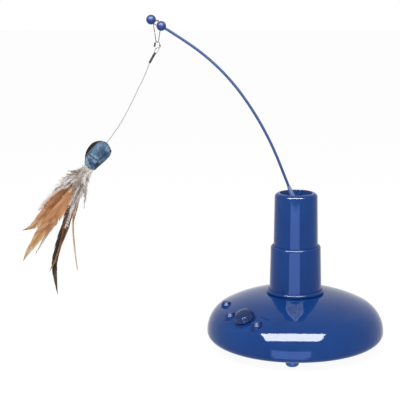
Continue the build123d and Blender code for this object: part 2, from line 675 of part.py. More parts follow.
def tower_head():
    """Upper tower tube with a rounded top and the cup that the hub turns in."""
    corner = (HEAD_TOP_RADIUS - HEAD_CORNER, TOWER_TOP_Z - HEAD_CORNER)
    outer = turned(
        Line((0, HEAD_Z), (HEAD_FOOT_RADIUS, HEAD_Z)),
        Line((HEAD_FOOT_RADIUS, HEAD_Z), (HEAD_TOP_RADIUS, corner[1])),
        ThreePointArc(
            (HEAD_TOP_RADIUS, corner[1]), on_circle(corner, HEAD_CORNER, 45), (corner[0], TOWER_TOP_Z)
        ),
        Line((corner[0], TOWER_TOP_Z), (0, TOWER_TOP_Z)),
        Line((0, TOWER_TOP_Z), (0, HEAD_Z)),
    )
    bore_top = CUP_FLOOR_Z - CUP_FLOOR_THICKNESS
    head = outer - cone(HEAD_FOOT_RADIUS - HEAD_WALL, head_radius(bore_top) - HEAD_WALL, HEAD_Z, bore_top)
    head -= cone(CUP_FLOOR_RADIUS, MOUTH_RADIUS, CUP_FLOOR_Z, TOWER_TOP_Z)
    gap = hole(head_radius(TOWER_TOP_Z) - HEAD_WALL, bore_top, TOWER_TOP_Z - HEAD_CORNER - HEAD_WALL - PAST)
    gap -= cone(CUP_FLOOR_RADIUS + HEAD_WALL, MOUTH_RADIUS + HEAD_WALL, CUP_FLOOR_Z, TOWER_TOP_Z)
    head -= gap - hole(CUP_FLOOR_RADIUS + HEAD_WALL, bore_top, CUP_FLOOR_Z)
    head += rod(BUSH_RADIUS + HEAD_WALL, CUP_FLOOR_Z - BUSH_LENGTH, CUP_FLOOR_Z)
    head -= hole(BUSH_RADIUS, CUP_FLOOR_Z - BUSH_LENGTH, CUP_FLOOR_Z)
    for degrees in HEAD_BOSS_ANGLES:
        x, y = place(HEAD_BOSS_PLACE, degrees)
        head += rod(HEAD_BOSS_RADIUS, HEAD_Z, HEAD_Z + HEAD_BOSS_LENGTH, x, y) & outer
        head -= hole(SCREW_RADIUS + RUNNING, HEAD_Z, HEAD_Z + SCREW_PILOT_DEPTH, x, y)
    return fillet(head.edges().filter_by(GeomType.CIRCLE).sort_by(Axis.Z)[-1], MOUTH_ROUNDING)


# Motor and gears


def involute(radius, base_radius):
    """Angle of the involute flank at a radius."""
    if radius <= base_radius:
        return 0.0
    angle = math.acos(base_radius / radius)
    return math.tan(angle) - angle


def gear(teeth, low, high, bore, phase=0.0):
    """Spur gear with involute flanks. phase turns it, in degrees."""
    pitch_r = GEAR_MODULE * teeth / 2
    base_r = pitch_r * math.cos(math.radians(GEAR_PRESSURE_ANGLE))
    root_r = pitch_r - 1.1 * GEAR_MODULE
    tip_r = pitch_r + 0.85 * GEAR_MODULE
    half_pitch = math.pi / 2 / teeth - GEAR_BACKLASH / 2 / pitch_r
    flank = []
    for radius in (root_r, max(base_r, root_r + RUNNING), pitch_r, (pitch_r + tip_r) / 2, tip_r):
        half_angle = half_pitch + involute(pitch_r, base_r) - involute(radius, base_r)
        flank.append((radius, half_angle))
    outline = []
    for i in range(teeth):
        centre = 2 * math.pi * i / teeth + math.radians(phase)
        outline += [(r, centre - a) for r, a in flank]
        outline += [(r, centre + a) for r, a in reversed(flank)]
    points = [(r * math.cos(a), r * math.sin(a)) for r, a in outline]
    wheel = Pos(0, 0, low) * extrude(make_face(Polyline(*points, close=True)), high - low)
    return wheel - hole(bore, low, high)


def gearbox_plate(low):
    """Round gearbox plate, notched for the wires and holed for the idler's axle."""
    plate = rod(GEARBOX_PLATE_RADIUS, low, low + GEARBOX_PLATE)
    plate -= hole(WIRE_NOTCH_RADIUS, low, low + GEARBOX_PLATE, GEARBOX_PLATE_RADIUS, 0)
    return plate - hole(IDLER_AXLE_RADIUS, low, low + GEARBOX_PLATE, AXLE_DISTANCE, 0)


def lower_plate():
    """Gearbox plate that carries the motor and stands on the sleeve's bosses."""
    plate = gearbox_plate(GEARBOX_Z)
    plate += ring(
        AXLE_COLLAR_RADIUS, IDLER_AXLE_RADIUS, GEARBOX_FLOOR_Z, LARGE_Z - SEAT_GAP, AXLE_DISTANCE, 0
    )
    plate -= hole(MOTOR_NOSE_RADIUS + RUNNING, GEARBOX_Z, GEARBOX_FLOOR_Z)
    for side in (-1, 1):
        plate -= hole(
            SMALL_SCREW_RADIUS + SLIDING, GEARBOX_Z, GEARBOX_FLOOR_Z, 0, side * MOTOR_SCREW_PLACE
        )
    for degrees in TOWER_BOSS_ANGLES:
        x, y = place(TOWER_BOSS_PLACE, degrees)
        plate -= hole(SCREW_RADIUS + SLIDING, GEARBOX_Z, GEARBOX_FLOOR_Z, x, y)
    for degrees in POST_ANGLES:
        x, y = place(POST_PLACE, degrees)
        plate += rod(POST_RADIUS, GEARBOX_FLOOR_Z, UPPER_PLATE_Z, x, y)
        plate -= hole(SMALL_SCREW_RADIUS + RUNNING, UPPER_PLATE_Z - SMALL_PILOT_DEPTH, UPPER_PLATE_Z, x, y)
    return plate


def upper_plate():
    """Gearbox plate that carries the output shaft and the tower's head."""
    plate = gearbox_plate(UPPER_PLATE_Z)
    plate += rod(SHAFT_GUIDE_RADIUS, UPPER_PLATE_Z, HEAD_Z + SHAFT_GUIDE_LENGTH)
    plate += ring(
        AXLE_COLLAR_RADIUS, IDLER_AXLE_RADIUS, IDLER_TOP_Z + SEAT_GAP, UPPER_PLATE_Z, AXLE_DISTANCE, 0
    )
    plate -= hole(OUTPUT_SHAFT_RADIUS + RUNNING, UPPER_PLATE_Z, HEAD_Z + SHAFT_GUIDE_LENGTH)
    recess_floor = HEAD_Z - SMALL_SCREW_HEAD_HEIGHT
    for degrees in POST_ANGLES:
        x, y = place(POST_PLACE, degrees)
        plate -= hole(SMALL_SCREW_RADIUS + SLIDING, UPPER_PLATE_Z, HEAD_Z, x, y)
        plate -= rod(SMALL_SCREW_HEAD_RADIUS + SLIDING, recess_floor, HEAD_Z + PAST, x, y)
    for degrees in HEAD_BOSS_ANGLES:
        x, y = place(HEAD_BOSS_PLACE, degrees)
        plate -= hole(SCREW_RADIUS + SLIDING, UPPER_PLATE_Z, HEAD_Z, x, y)
    return plate


def gearbox_screws():
    """Three small screws into the posts, and three that hold the lower plate to the sleeve."""
    made = []
    for degrees in POST_ANGLES:
        x, y = place(POST_PLACE, degrees)
        made.append(Pos(x, y, HEAD_Z) * Rot(180, 0, 0) * small_screw())
    for degrees in TOWER_BOSS_ANGLES:
        x, y = place(TOWER_BOSS_PLACE, degrees)
        top = GEARBOX_FLOOR_Z + SCREW_HEAD_HEIGHT
        made.append(Pos(x, y, top) * Rot(180, 0, 0) * large_screw())
    return Compound(children=made)


def tower_screws():
    """Screws up through the dome into the sleeve, and through the upper plate into the head."""
    made = []
    for degrees in TOWER_BOSS_ANGLES:
        x, y = place(TOWER_BOSS_PLACE, degrees)
        made.append(Pos(x, y, SEAT_Z - SHELL_WALL - SCREW_HEAD_HEIGHT) * large_screw())
    for degrees in HEAD_BOSS_ANGLES:
        x, y = place(HEAD_BOSS_PLACE, degrees)
        made.append(Pos(x, y, UPPER_PLATE_Z - SCREW_HEAD_HEIGHT) * large_screw())
    return Compound(children=made)


def motor_can():
    """Steel can of the motor, with its nose through the lower plate and two screw holes."""
    can = rod(MOTOR_RADIUS, GEARBOX_Z - MOTOR_CAN_LENGTH, GEARBOX_Z)
    can = fillet(can.edges().group_by(Axis.Z)[0], HUB_CHAMFER)
    can += rod(MOTOR_NOSE_RADIUS, GEARBOX_Z - PAST, GEARBOX_Z + MOTOR_NOSE_LENGTH)
    can -= hole(MOTOR_SHAFT_RADIUS + RUNNING, GEARBOX_Z - MOTOR_SHAFT_DEPTH, GEARBOX_Z + MOTOR_NOSE_LENGTH)
    for side in (-1, 1):
        can -= hole(
            SMALL_SCREW_RADIUS + RUNNING, GEARBOX_Z - SMALL_SCREW_LENGTH + GEARBOX_PLATE, GEARBOX_Z,
            0, side * MOTOR_SCREW_PLACE,
        )
    return can


def motor_cap():
    """Plastic end cap of the motor with its two solder tags."""
    top = GEARBOX_Z - MOTOR_CAN_LENGTH
    foot = top - MOTOR_CAP_LENGTH
    cap = rod(MOTOR_CAP_RADIUS, foot, top)
    for side in (-1, 1):
        cap += block(
            MOTOR_TAG_THICKNESS, MOTOR_TAG_WIDTH, foot - MOTOR_TAG_LENGTH, foot + PAST,
            side * MOTOR_TAG_PLACE, 0,
        )
    return cap


def motor_screws():
    """Two small screws that hold the motor under the lower plate."""
    made = []
    for side in (-1, 1):
        top = GEARBOX_FLOOR_Z + SMALL_SCREW_HEAD_HEIGHT
        made.append(Pos(0, side * MOTOR_SCREW_PLACE, top) * Rot(180, 0, 0) * small_screw())
    return Compound(children=made)


def idler_wheel():
    """Two-step idler: a large wheel driven by the pinion and a small one on top of it."""
    bore = IDLER_AXLE_RADIUS + RUNNING
    step_z = LARGE_Z + GEAR_FACE
    large = gear(LARGE_TEETH, LARGE_Z, step_z, bore, 180.0 / LARGE_TEETH)
    small = gear(SMALL_TEETH, step_z, IDLER_TOP_Z, bore, 180.0 / SMALL_TEETH)
    return Pos(AXLE_DISTANCE, 0, 0) * (large + small)


def output_gear():
    """Output wheel pressed on the lower end of the shaft, with a short collar above."""
    top = OUTPUT_Z + GEAR_FACE
    wheel = gear(LARGE_TEETH, OUTPUT_Z, top, OUTPUT_SHAFT_RADIUS)
    return wheel + ring(OUTPUT_COLLAR_RADIUS, OUTPUT_SHAFT_RADIUS, top, UPPER_PLATE_Z - SEAT_GAP)


# Wand

WAND_DIRECTION = (math.sin(LEAN), math.cos(LEAN))
SHAFT_TOP_Z = HUB_Z + HUB_THICKNESS + OUTPUT_SHAFT_RADIUS


def along_wand(distance):
    """Point on the wand's straight lower stretch, in the wand's plane."""
    foot_z = CUP_FLOOR_Z + WAND_ROOT_LIFT
    return WAND_DIRECTION[0] * distance, foot_z + WAND_DIRECTION[1] * distance


def wand_path():
    """The wand's centre line in its plane: a straight run, then bends of growing lean."""
    start = along_wand(FERRULE_START + WAND_SOCKET)
    angle = 90.0 - WAND_LEAN
    stretches = (
        (WAND_STRAIGHT, 0.0),
        (WAND_LOWER_BEND, WAND_LOWER_TURN),
        (WAND_UPPER_BEND, WAND_UPPER_TURN),
        (WAND_TIP_BEND, WAND_TIP_TURN),
        (WAND_END_LENGTH, 0.0),
    )
    pieces = []
    point = Vector(start[0], start[1])
    for length, turn in stretches:
        heading = Vector(math.cos(math.radians(angle)), math.sin(math.radians(angle)))
        if turn == 0:
            piece = Line(point, point + heading * length)
        else:
            radius = length / math.radians(turn)
            piece = JernArc(start=point, tangent=heading, radius=radius, arc_size=-turn)
        pieces.append(piece)
        point = piece @ 1
        angle -= turn
    return pieces, point, math.radians(90.0 - angle)


WAND_PIECES, WAND_TIP, TIP_LEAN = wand_path()
TIP_ALONG = (math.sin(TIP_LEAN), math.cos(TIP_LEAN))
TIP_DOWN = (math.cos(TIP_LEAN), -math.sin(TIP_LEAN))


def tip_point(forward, down=0.0):
    """Point in the wand's plane, measured from the middle of the gap between the balls."""
    forward += BALL_SPACING / 2
    return (
        WAND_TIP.X + TIP_ALONG[0] * forward + TIP_DOWN[0] * down,
        WAND_TIP.Y + TIP_ALONG[1] * forward + TIP_DOWN[1] * down,
    )


def hung(spot, out=0.0, down=0.0, off=0.0):
    """Point given as out from the wand's tip and down from it, moved by the values given."""
    return wand_point(WAND_TIP.X + spot[0] + out, WAND_TIP.Y - spot[1] - down, off)


def wand_rod():
    """Springy plastic rod, bent over towards its tip."""
    path = WAND_PLANE * Wire([piece.edge() for piece in WAND_PIECES])
    start = Plane(origin=path @ 0, z_dir=path % 0)
    return sweep(start * Circle(WAND_RADIUS), path=path)


def wand_axis(distance):
    """Location on the wand's straight lower stretch, with Z along the wand."""
    origin = wand_point(*along_wand(distance))
    return Plane(origin=origin, z_dir=wand_point(*along_wand(distance + 1)) - origin).location


def ferrule_blank():
    """Tapered sleeve round the wand's foot, not yet bored."""
    return wand_axis(FERRULE_START) * Cone(
        FERRULE_BOTTOM_RADIUS, FERRULE_TOP_RADIUS, FERRULE_LENGTH, align=UP
    )


def wand_hub():
    """Turning hub in the tower's cup, with a leaning socket for the wand's ferrule."""
    top = HUB_Z + HUB_THICKNESS
    hub = rod(HUB_RADIUS, HUB_Z, top)
    hub = chamfer(hub.edges().group_by(Axis.Z)[-1], HUB_CHAMFER)
    hub += cone(HUB_CONE_BOTTOM_RADIUS, HUB_CONE_TOP_RADIUS, top, top + HUB_CONE_HEIGHT)
    hub += wand_axis(HUB_BOSS_START) * Cylinder(HUB_BOSS_RADIUS, HUB_BOSS_LENGTH, align=UP)
    root = wand_axis(0) * Cylinder(HUB_BOSS_RADIUS, FERRULE_START, align=UP)
    hub += root & rod(HUB_RADIUS, HUB_Z, TOWER_TOP_Z)
    hub -= rod(OUTPUT_SHAFT_RADIUS, HUB_Z - PAST, SHAFT_TOP_Z)
    return hub - ferrule_blank()


def balls():
    """Inner ball on the rod's end, and end ball, joined by the oval wire link."""
    link = tip_link()
    inner_at = wand_point(WAND_TIP.X, WAND_TIP.Y)
    end_at = wand_point(*tip_point(BALL_SPACING / 2))
    socket = Cylinder(WAND_RADIUS, BALL_RADIUS + PAST, align=UP)
    along_rod = Plane(origin=inner_at, z_dir=inner_at - end_at)
    inner = along_rod.location * (Sphere(BALL_RADIUS) - socket) - link
    end = Pos(*end_at) * Sphere(BALL_RADIUS) - link
    return inner, end


def tip_link():
    """Oval wire link between the balls; its lower side carries the snap."""
    corners = []
    for forward, down in ((1, 1), (1, -1), (-1, -1), (-1, 1)):
        corners.append(wand_point(*tip_point(forward * LINK_HALF_LENGTH, down * LINK_HALF_WIDTH)))
    return wire_tube(corners, WIRE_RADIUS, LINK_CORNER, close=True)


# Snap, ring, line and toy


def snap_clip():
    """Bent wire snap: its eye goes round the tip's link, its foot under the ring's top."""
    ball = (0.0, 0.0)
    eye = tip_point(0.0, -LINK_HALF_WIDTH - SNAP_EYE_REACH)
    eye = (eye[0] - WAND_TIP.X, WAND_TIP.Y - eye[1])
    points = [
        hung(RING_TOP, 2.7, -9.7, -1.3),
        hung(RING_TOP, 1.0, 1.3, -1.2),
        hung(RING_TOP, -1.0, 1.3, 1.2),
        hung(RING_TOP, -2.1, -7.3, 1.7),
        hung(ball, 2.6, 5.2, 3.6),
        hung(ball, 4.0, 2.6, 5.0),
        hung(ball, 5.0, -0.8, 4.8),
        hung(eye, -0.5, 0.3, 2.7),
        hung(eye, 0.3, -0.2, -2.5),
        hung(RING_TOP, 3.2, -20.3, -3.4),
        hung(RING_TOP, 3.4, -15.8, -2.2),
        hung(RING_TOP, 2.8, -10.3, -1.3),
    ]
    return wire_tube(points, WIRE_RADIUS, WIRE_BEND)


def clip_ring_corners():
    """Corners of the ring's oval before they are rounded."""
    return [
        hung(RING_TOP, RING_TOP_HALF),
        hung(RING_BOTTOM, RING_FRONT),
        hung(RING_BOTTOM, -RING_BACK),
        hung(RING_TOP, -RING_TOP_HALF),
    ]


def clip_ring():
    """Small oval wire ring between the snap and the line's loop."""
    return wire_tube(clip_ring_corners(), WIRE_RADIUS, RING_CORNER, close=True)


def ring_collar(start, end, share, length, radius):
    """Collar on one straight side of the ring, centred at a share of that side."""
    middle = start + (end - start) * share
    solid = Plane(origin=middle, z_dir=end - start).location * Cylinder(radius, length)
    return fillet(solid.edges(), radius * 0.3) - nodes["clip_ring"]


CRIMP_LINE = (Vector(*LINE_POINTS[0]) - Vector(*CRIMP_AIM)).normalized()
CRIMP_TOP = (
    LINE_POINTS[0][0] - CRIMP_LINE.X * CRIMP_LENGTH,
    LINE_POINTS[0][1] - CRIMP_LINE.Y * CRIMP_LENGTH,
)


def line_loop():
    """Loop of the line through the ring, both ends into the crimp."""
    points = [
        hung(CRIMP_TOP, 0.55, 3.0, 0.0),
        hung(CRIMP_TOP, 0.35, -2.6, -0.9),
        hung(RING_BOTTOM, 0.8, -1.3, -1.05),
        hung(RING_BOTTOM, -0.9, -1.3, 1.05),
        hung(RING_BOTTOM, -1.6, 2.2, 1.0),
        hung(CRIMP_TOP, -0.6, 1.6, 0.0),
    ]
    return wire_tube(points, LOOP_RADIUS, LOOP_BEND)


def crimp_sleeve():
    """Black ribbed crimp over the line's doubled end."""
    top = hung(CRIMP_TOP)
    axis = Plane(origin=top, z_dir=hung(LINE_POINTS[0]) - top)
    body = Cylinder(CRIMP_RADIUS, CRIMP_LENGTH, align=UP)
    step = CRIMP_LENGTH / CRIMP_RIBS
    for i in range(1, CRIMP_RIBS):
        groove = Cylinder(CRIMP_RADIUS + PAST, step * CRIMP_RIB_SHARE)
        groove -= Cylinder(CRIMP_RADIUS - CRIMP_RIB_DEPTH, step)
        body -= Pos(0, 0, step * i) * groove
    return axis.location * body - nodes["line_loop"] - nodes["toy_line"]


def toy_line():
    """Clear line from the crimp to the toy, a tube of straight runs and large arcs."""
    points = [hung(spot) for spot in LINE_POINTS]
    radii = []
    for before, here, after in zip(points, points[1:], points[2:]):
        turn = math.radians((here - before).get_angle(after - here))
        shorter = min((here - before).length, (after - here).length)
        radii.append(0.45 * shorter / math.tan(turn / 2))
    path = FilletPolyline(*points, radius=radii)
    start = Plane(origin=path @ 0, z_dir=path % 0)
    tube = sweep(start * Circle(LINE_RADIUS), path=path)
    section = math.pi * LINE_RADIUS**2
    print("line arc radii", [round(r, 1) for r in radii], "length", round(path.length, 1))
    print("line volume", round(tube.volume, 2), "section times length", round(section * path.length, 2))
    return tube


TOY_AXIS = (math.sin(math.radians(TOY_LEAN)), math.cos(math.radians(TOY_LEAN)))
TOY_SIDE = (math.cos(math.radians(TOY_LEAN)), -math.sin(math.radians(TOY_LEAN)))


def toy_point(down, across, off=0.0):
    """Point measured down the toy's long axis from its top, and across it."""
    out = TOY_AXIS[0] * down + TOY_SIDE[0] * across
    return hung(TOY_TOP, out, TOY_AXIS[1] * down + TOY_SIDE[1] * across, off)


def toy_section(down, across, half_width, half_depth, off=0.0):
    """Closed section of a padded form, square to the toy's long axis, of four arcs."""
    origin = toy_point(down, across, off)
    plane = Plane(
        origin=origin,
        x_dir=toy_point(down, across + 1, off) - origin,
        z_dir=toy_point(down + 1, across, off) - origin,
    )
    corners = [(half_width, 0), (0, half_depth), (-half_width, 0), (0, -half_depth)]
    arcs = []
    for (x0, y0), (x1, y1) in zip(corners, corners[1:] + corners[:1]):
        middle = ((x0 + x1) * SECTION_FULLNESS, (y0 + y1) * SECTION_FULLNESS)
        arcs.append(ThreePointArc((x0, y0), middle, (x1, y1)))
    return plane * make_face(arcs)


# Share of the toy's length, place across, half width and half depth of each section
TOY_SECTIONS = (
    (0.0, 1.6, 3.2, 3.0),
    (0.18, 2.8, 10.2, 8.8),
    (0.45, 3.6, 12.8, 11.6),
    (0.72, 4.0, 11.6, 10.2),
    (1.0, 4.8, 5.4, 5.0),
)


def toy_form(grow, shift):
    """Stuffed form through the toy's sections, grown and moved across by the values given."""
    sections = []
    for share, across, half_width, half_depth in TOY_SECTIONS:
        down = share * TOY_LENGTH
        sections.append(toy_section(down, across + shift, half_width + grow, half_depth + grow))
    return loft(sections)


def half_space(off, behind):
    """Large block on one side of a plane that lies behind the wand's plane by off."""
    size = TOY_LENGTH * 4
    side = size / 2 if behind else -size / 2
    origin = toy_point(TOY_LENGTH / 2, 0, off + side)
    return Plane(origin=origin, x_dir=WAND_PLANE.x_dir, z_dir=WAND_PLANE.z_dir).location * Box(
        size, size, size
    )


def toy_body():
    """Front and middle of the stuffed body, in denim."""
    return toy_form(0.0, 0.0) & half_space(TOY_SPLIT, False) - nodes["toy_line"]


def toy_back():
    """Darker back panel, a little wider than the front on its upper edge."""
    return toy_form(TOY_BACK_GROWTH, TOY_BACK_SHIFT) & half_space(TOY_SPLIT + SEAT_GAP, True)


def toy_flat(spot):
    """A spot given from the toy's top, as distances in the wand's plane."""
    return WAND_TIP.X + TOY_TOP[0] + spot[0], WAND_TIP.Y - TOY_TOP[1] - spot[1]


def feather(layer, start, left, right, tip):
    """Flat feather: a spline down each edge from the quill's foot at the toy to the tip."""
    feet_at = []
    for across in (start + QUILL_HALF_WIDTH, start - QUILL_HALF_WIDTH):
        foot = WAND_PLANE.to_local_coords(toy_point(TOY_LENGTH + SEAT_GAP, across))
        feet_at.append((foot.X, foot.Y))
    left_edge = [feet_at[0]] + [toy_flat(spot) for spot in left] + [toy_flat(tip)]
    right_edge = [toy_flat(tip)] + [toy_flat(spot) for spot in reversed(right)] + [feet_at[1]]
    outline = make_face([Spline(*left_edge), Spline(*right_edge), Line(feet_at[1], feet_at[0])])
    off = layer * FEATHER_LAYER - FEATHER_THICKNESS / 2
    face = Plane(origin=wand_point(0, 0, off), x_dir=WAND_PLANE.x_dir, z_dir=WAND_PLANE.z_dir) * outline
    return extrude(face, FEATHER_THICKNESS)


# Layer, place of the quill's foot across the toy, outer edge, inner edge and tip of each feather
FEATHERS = {
    "feather_rust_upper": (
        1, 7.0,
        ((49.8, 50.0), (68.8, 61.0), (84.8, 79.0), (103.8, 103.5)),
        ((37.8, 49.0), (48.8, 65.0), (61.8, 84.5), (88.8, 102.5)),
        (117.8, 115.5),
    ),
    "feather_rust_lower": (
        0, 4.5,
        ((41.8, 52.0), (66.8, 74.0), (85.8, 104.0), (108.8, 138.0)),
        ((32.8, 53.0), (50.3, 71.0), (70.8, 100.5), (103.8, 139.0)),
        (116.8, 156.5),
    ),
    "feather_pale": (
        4, 4.5,
        ((49.8, 57.0), (71.8, 89.0), (86.8, 112.0)),
        ((43.8, 57.0), (65.8, 89.0), (82.3, 113.0)),
        (101.8, 147.5),
    ),
    "feather_brown": (
        2, 3.0,
        ((41.8, 59.0), (57.8, 87.0), (62.8, 112.0), (73.8, 143.0)),
        ((35.8, 59.0), (47.8, 84.0), (54.8, 117.0), (69.3, 146.0)),
        (82.8, 167.5),
    ),
    "feather_black": (
        3, 3.0,
        ((39.8, 59.0), (62.3, 104.0), (72.3, 132.0), (79.3, 173.0)),
        ((33.8, 59.0), (55.3, 104.0), (66.3, 136.0), (74.3, 175.0)),
        (72.8, 198.5),
    ),
    "feather_orange": (
        -1, 1.5,
        ((32.8, 53.0), (44.3, 74.0), (49.3, 104.0), (47.3, 129.0)),
        ((27.8, 53.0), (37.3, 74.0), (46.8, 104.0), (46.1, 129.0)),
        (42.3, 164.5),
    ),
}


# Distance below the toy, place across, half width, half depth and place behind of each section
DOWN_SECTIONS = (
    (0.0, 4.8, 4.6, 1.8, -3.6),
    (16.0, 7.4, 12.0, 2.6, -5.0),
    (36.0, 9.6, 17.0, 3.0, -5.6),
    (56.0, 10.6, 14.0, 2.4, -5.2),
    (72.0, 11.0, 5.0, 1.4, -4.4),
)


def down_tuft():
    """Soft down over the feathers' quills, a fan that opens from the toy and closes again."""
    sections = []
    for below, across, half_width, half_depth, off in DOWN_SECTIONS:
        down = TOY_LENGTH + SEAT_GAP + below
        sections.append(toy_section(down, across, half_width, half_depth, off))
    return loft(sections)


# Controls


def speed_control():
    """Rotary control clamped under the dome, its threaded bush up through the knob's pad."""
    low = -SHELL_WALL - CONTROL_DEPTH
    body = rod(CONTROL_RADIUS, low, -SHELL_WALL)
    body += rod(CONTROL_BUSH_RADIUS, -SHELL_WALL - PAST, CONTROL_BUSH_RISE)
    body -= rod(CONTROL_SHAFT_RADIUS + RUNNING, -CONTROL_SHAFT_SINK, CONTROL_BUSH_RISE + PAST)
    return KNOB_SEAT * body


def control_nut():
    """Thin nut that clamps the rotary control to the dome, under the knob."""
    nut = extrude(RegularPolygon(NUT_RADIUS, 6), NUT_THICKNESS)
    return KNOB_SEAT * (nut - hole(CONTROL_BUSH_RADIUS, 0, NUT_THICKNESS))


def control_shaft():
    """Turning shaft of the rotary control, up into the knob."""
    return KNOB_SEAT * rod(
        CONTROL_SHAFT_RADIUS, SEAT_GAP - CONTROL_SHAFT_SINK, SLIDING + KNOB_HEIGHT - KNOB_ROOF - SLIDING
    )


def speed_knob():
    """Knob with a low domed top, round flutes down its flared side and an undercut foot."""
    low = SLIDING
    foot_top = low + KNOB_UNDERCUT
    wide = foot_top + KNOB_FLARE
    side_top = low + KNOB_SIDE_HEIGHT
    top = low + KNOB_HEIGHT
    knob = turned(
        Line((0, low), (KNOB_FOOT_RADIUS, low)),
        Line((KNOB_FOOT_RADIUS, low), (KNOB_FOOT_RADIUS, foot_top)),
        Line((KNOB_FOOT_RADIUS, foot_top), (KNOB_RADIUS, wide)),
        Line((KNOB_RADIUS, wide), (KNOB_TOP_RADIUS, side_top)),
        ThreePointArc(
            (KNOB_TOP_RADIUS, side_top),
            (KNOB_TOP_RADIUS * 0.62, side_top + (top - side_top) * 0.72),
            (0, top),
        ),
        Line((0, top), (0, low)),
    )
    side_lean = math.degrees(math.atan2(KNOB_RADIUS - KNOB_TOP_RADIUS, side_top - wide))
    middle_r = (KNOB_RADIUS + KNOB_TOP_RADIUS) / 2 + KNOB_FLUTE_RADIUS - KNOB_FLUTE_DEPTH
    flutes = []
    for i in range(KNOB_RIBS):
        at = Rot(0, 0, 360.0 / KNOB_RIBS * (i + 0.5)) * Pos(middle_r, 0, (wide + side_top) / 2)
        flutes.append(at * Rot(0, -side_lean, 0) * Cylinder(KNOB_FLUTE_RADIUS, KNOB_HEIGHT))
    knob -= flutes
    knob -= rod(KNOB_CAVITY_RADIUS, low - PAST, low + KNOB_CAVITY_DEPTH)
    knob -= rod(CONTROL_SHAFT_RADIUS, low - PAST, top - KNOB_ROOF)
    return KNOB_SEAT * knob


def control_board():
    """Circuit board under the left and right buttons, with its small parts on its underside."""
    low = board_top("left") - BOARD_THICKNESS
    board = block(BOARD_LENGTH, BOARD_WIDTH, low, board_top("left"))
    for x, y, length, width, height in BOARD_PARTS:
        board += block(length, width, low - height, low, x, y)
    board = CONTROL_BOARD_AT * board
    for at, radius, end in board_spots()[:2]:
        board -= at * hole(SMALL_SCREW_RADIUS + SLIDING, low, end)
    return board


def board_screws():
    """Two small screws that hold the board to the dome's posts."""
    made = []
    for at, radius, end in board_spots()[:2]:
        made.append(at * Pos(0, 0, end - BOARD_THICKNESS - SMALL_SCREW_HEAD_HEIGHT) * small_screw())
    return Compound(children=made)


def side_board():
    """Small round board under the side button."""
    top = board_top("side")
    return SIDE_BOARD_AT * rod(SIDE_BOARD_RADIUS, top - BOARD_THICKNESS, top)


def tact_switch(side):
    """Small push switch on its board under a button."""
    seat = BUTTON_SEATS[side]
    low = board_top(side) - seat.position.Z
    body = block(SWITCH_SIDE, SWITCH_SIDE, low, low + SWITCH_HEIGHT)
    return seat * (body + rod(SWITCH_KEY_RADIUS, low + SWITCH_HEIGHT, low + SWITCH_TOP))


def button(side):
    """Tapered push button with a flange under its collar and a stem down to its switch."""
    seat = BUTTON_SEATS[side]
    stem_end = board_top(side) - seat.position.Z + SWITCH_TOP + BUTTON_TRAVEL + SEAT_GAP
    flange_top = -COLLAR_DEPTH - SLIDING
    taper_start = BUTTON_RISE - BUTTON_TAPER
    cap = cone(BUTTON_RADIUS, BUTTON_TOP_RADIUS, taper_start, BUTTON_RISE)
    cap = fillet(cap.edges().group_by(Axis.Z)[-1], BUTTON_ROUNDING)
    cap += rod(BUTTON_RADIUS, flange_top, taper_start)
    cap += rod(FLANGE_RADIUS, flange_top - BUTTON_FLANGE_THICKNESS, flange_top)
    cap += rod(BUTTON_STEM_RADIUS, stem_end, flange_top)
    return seat * cap


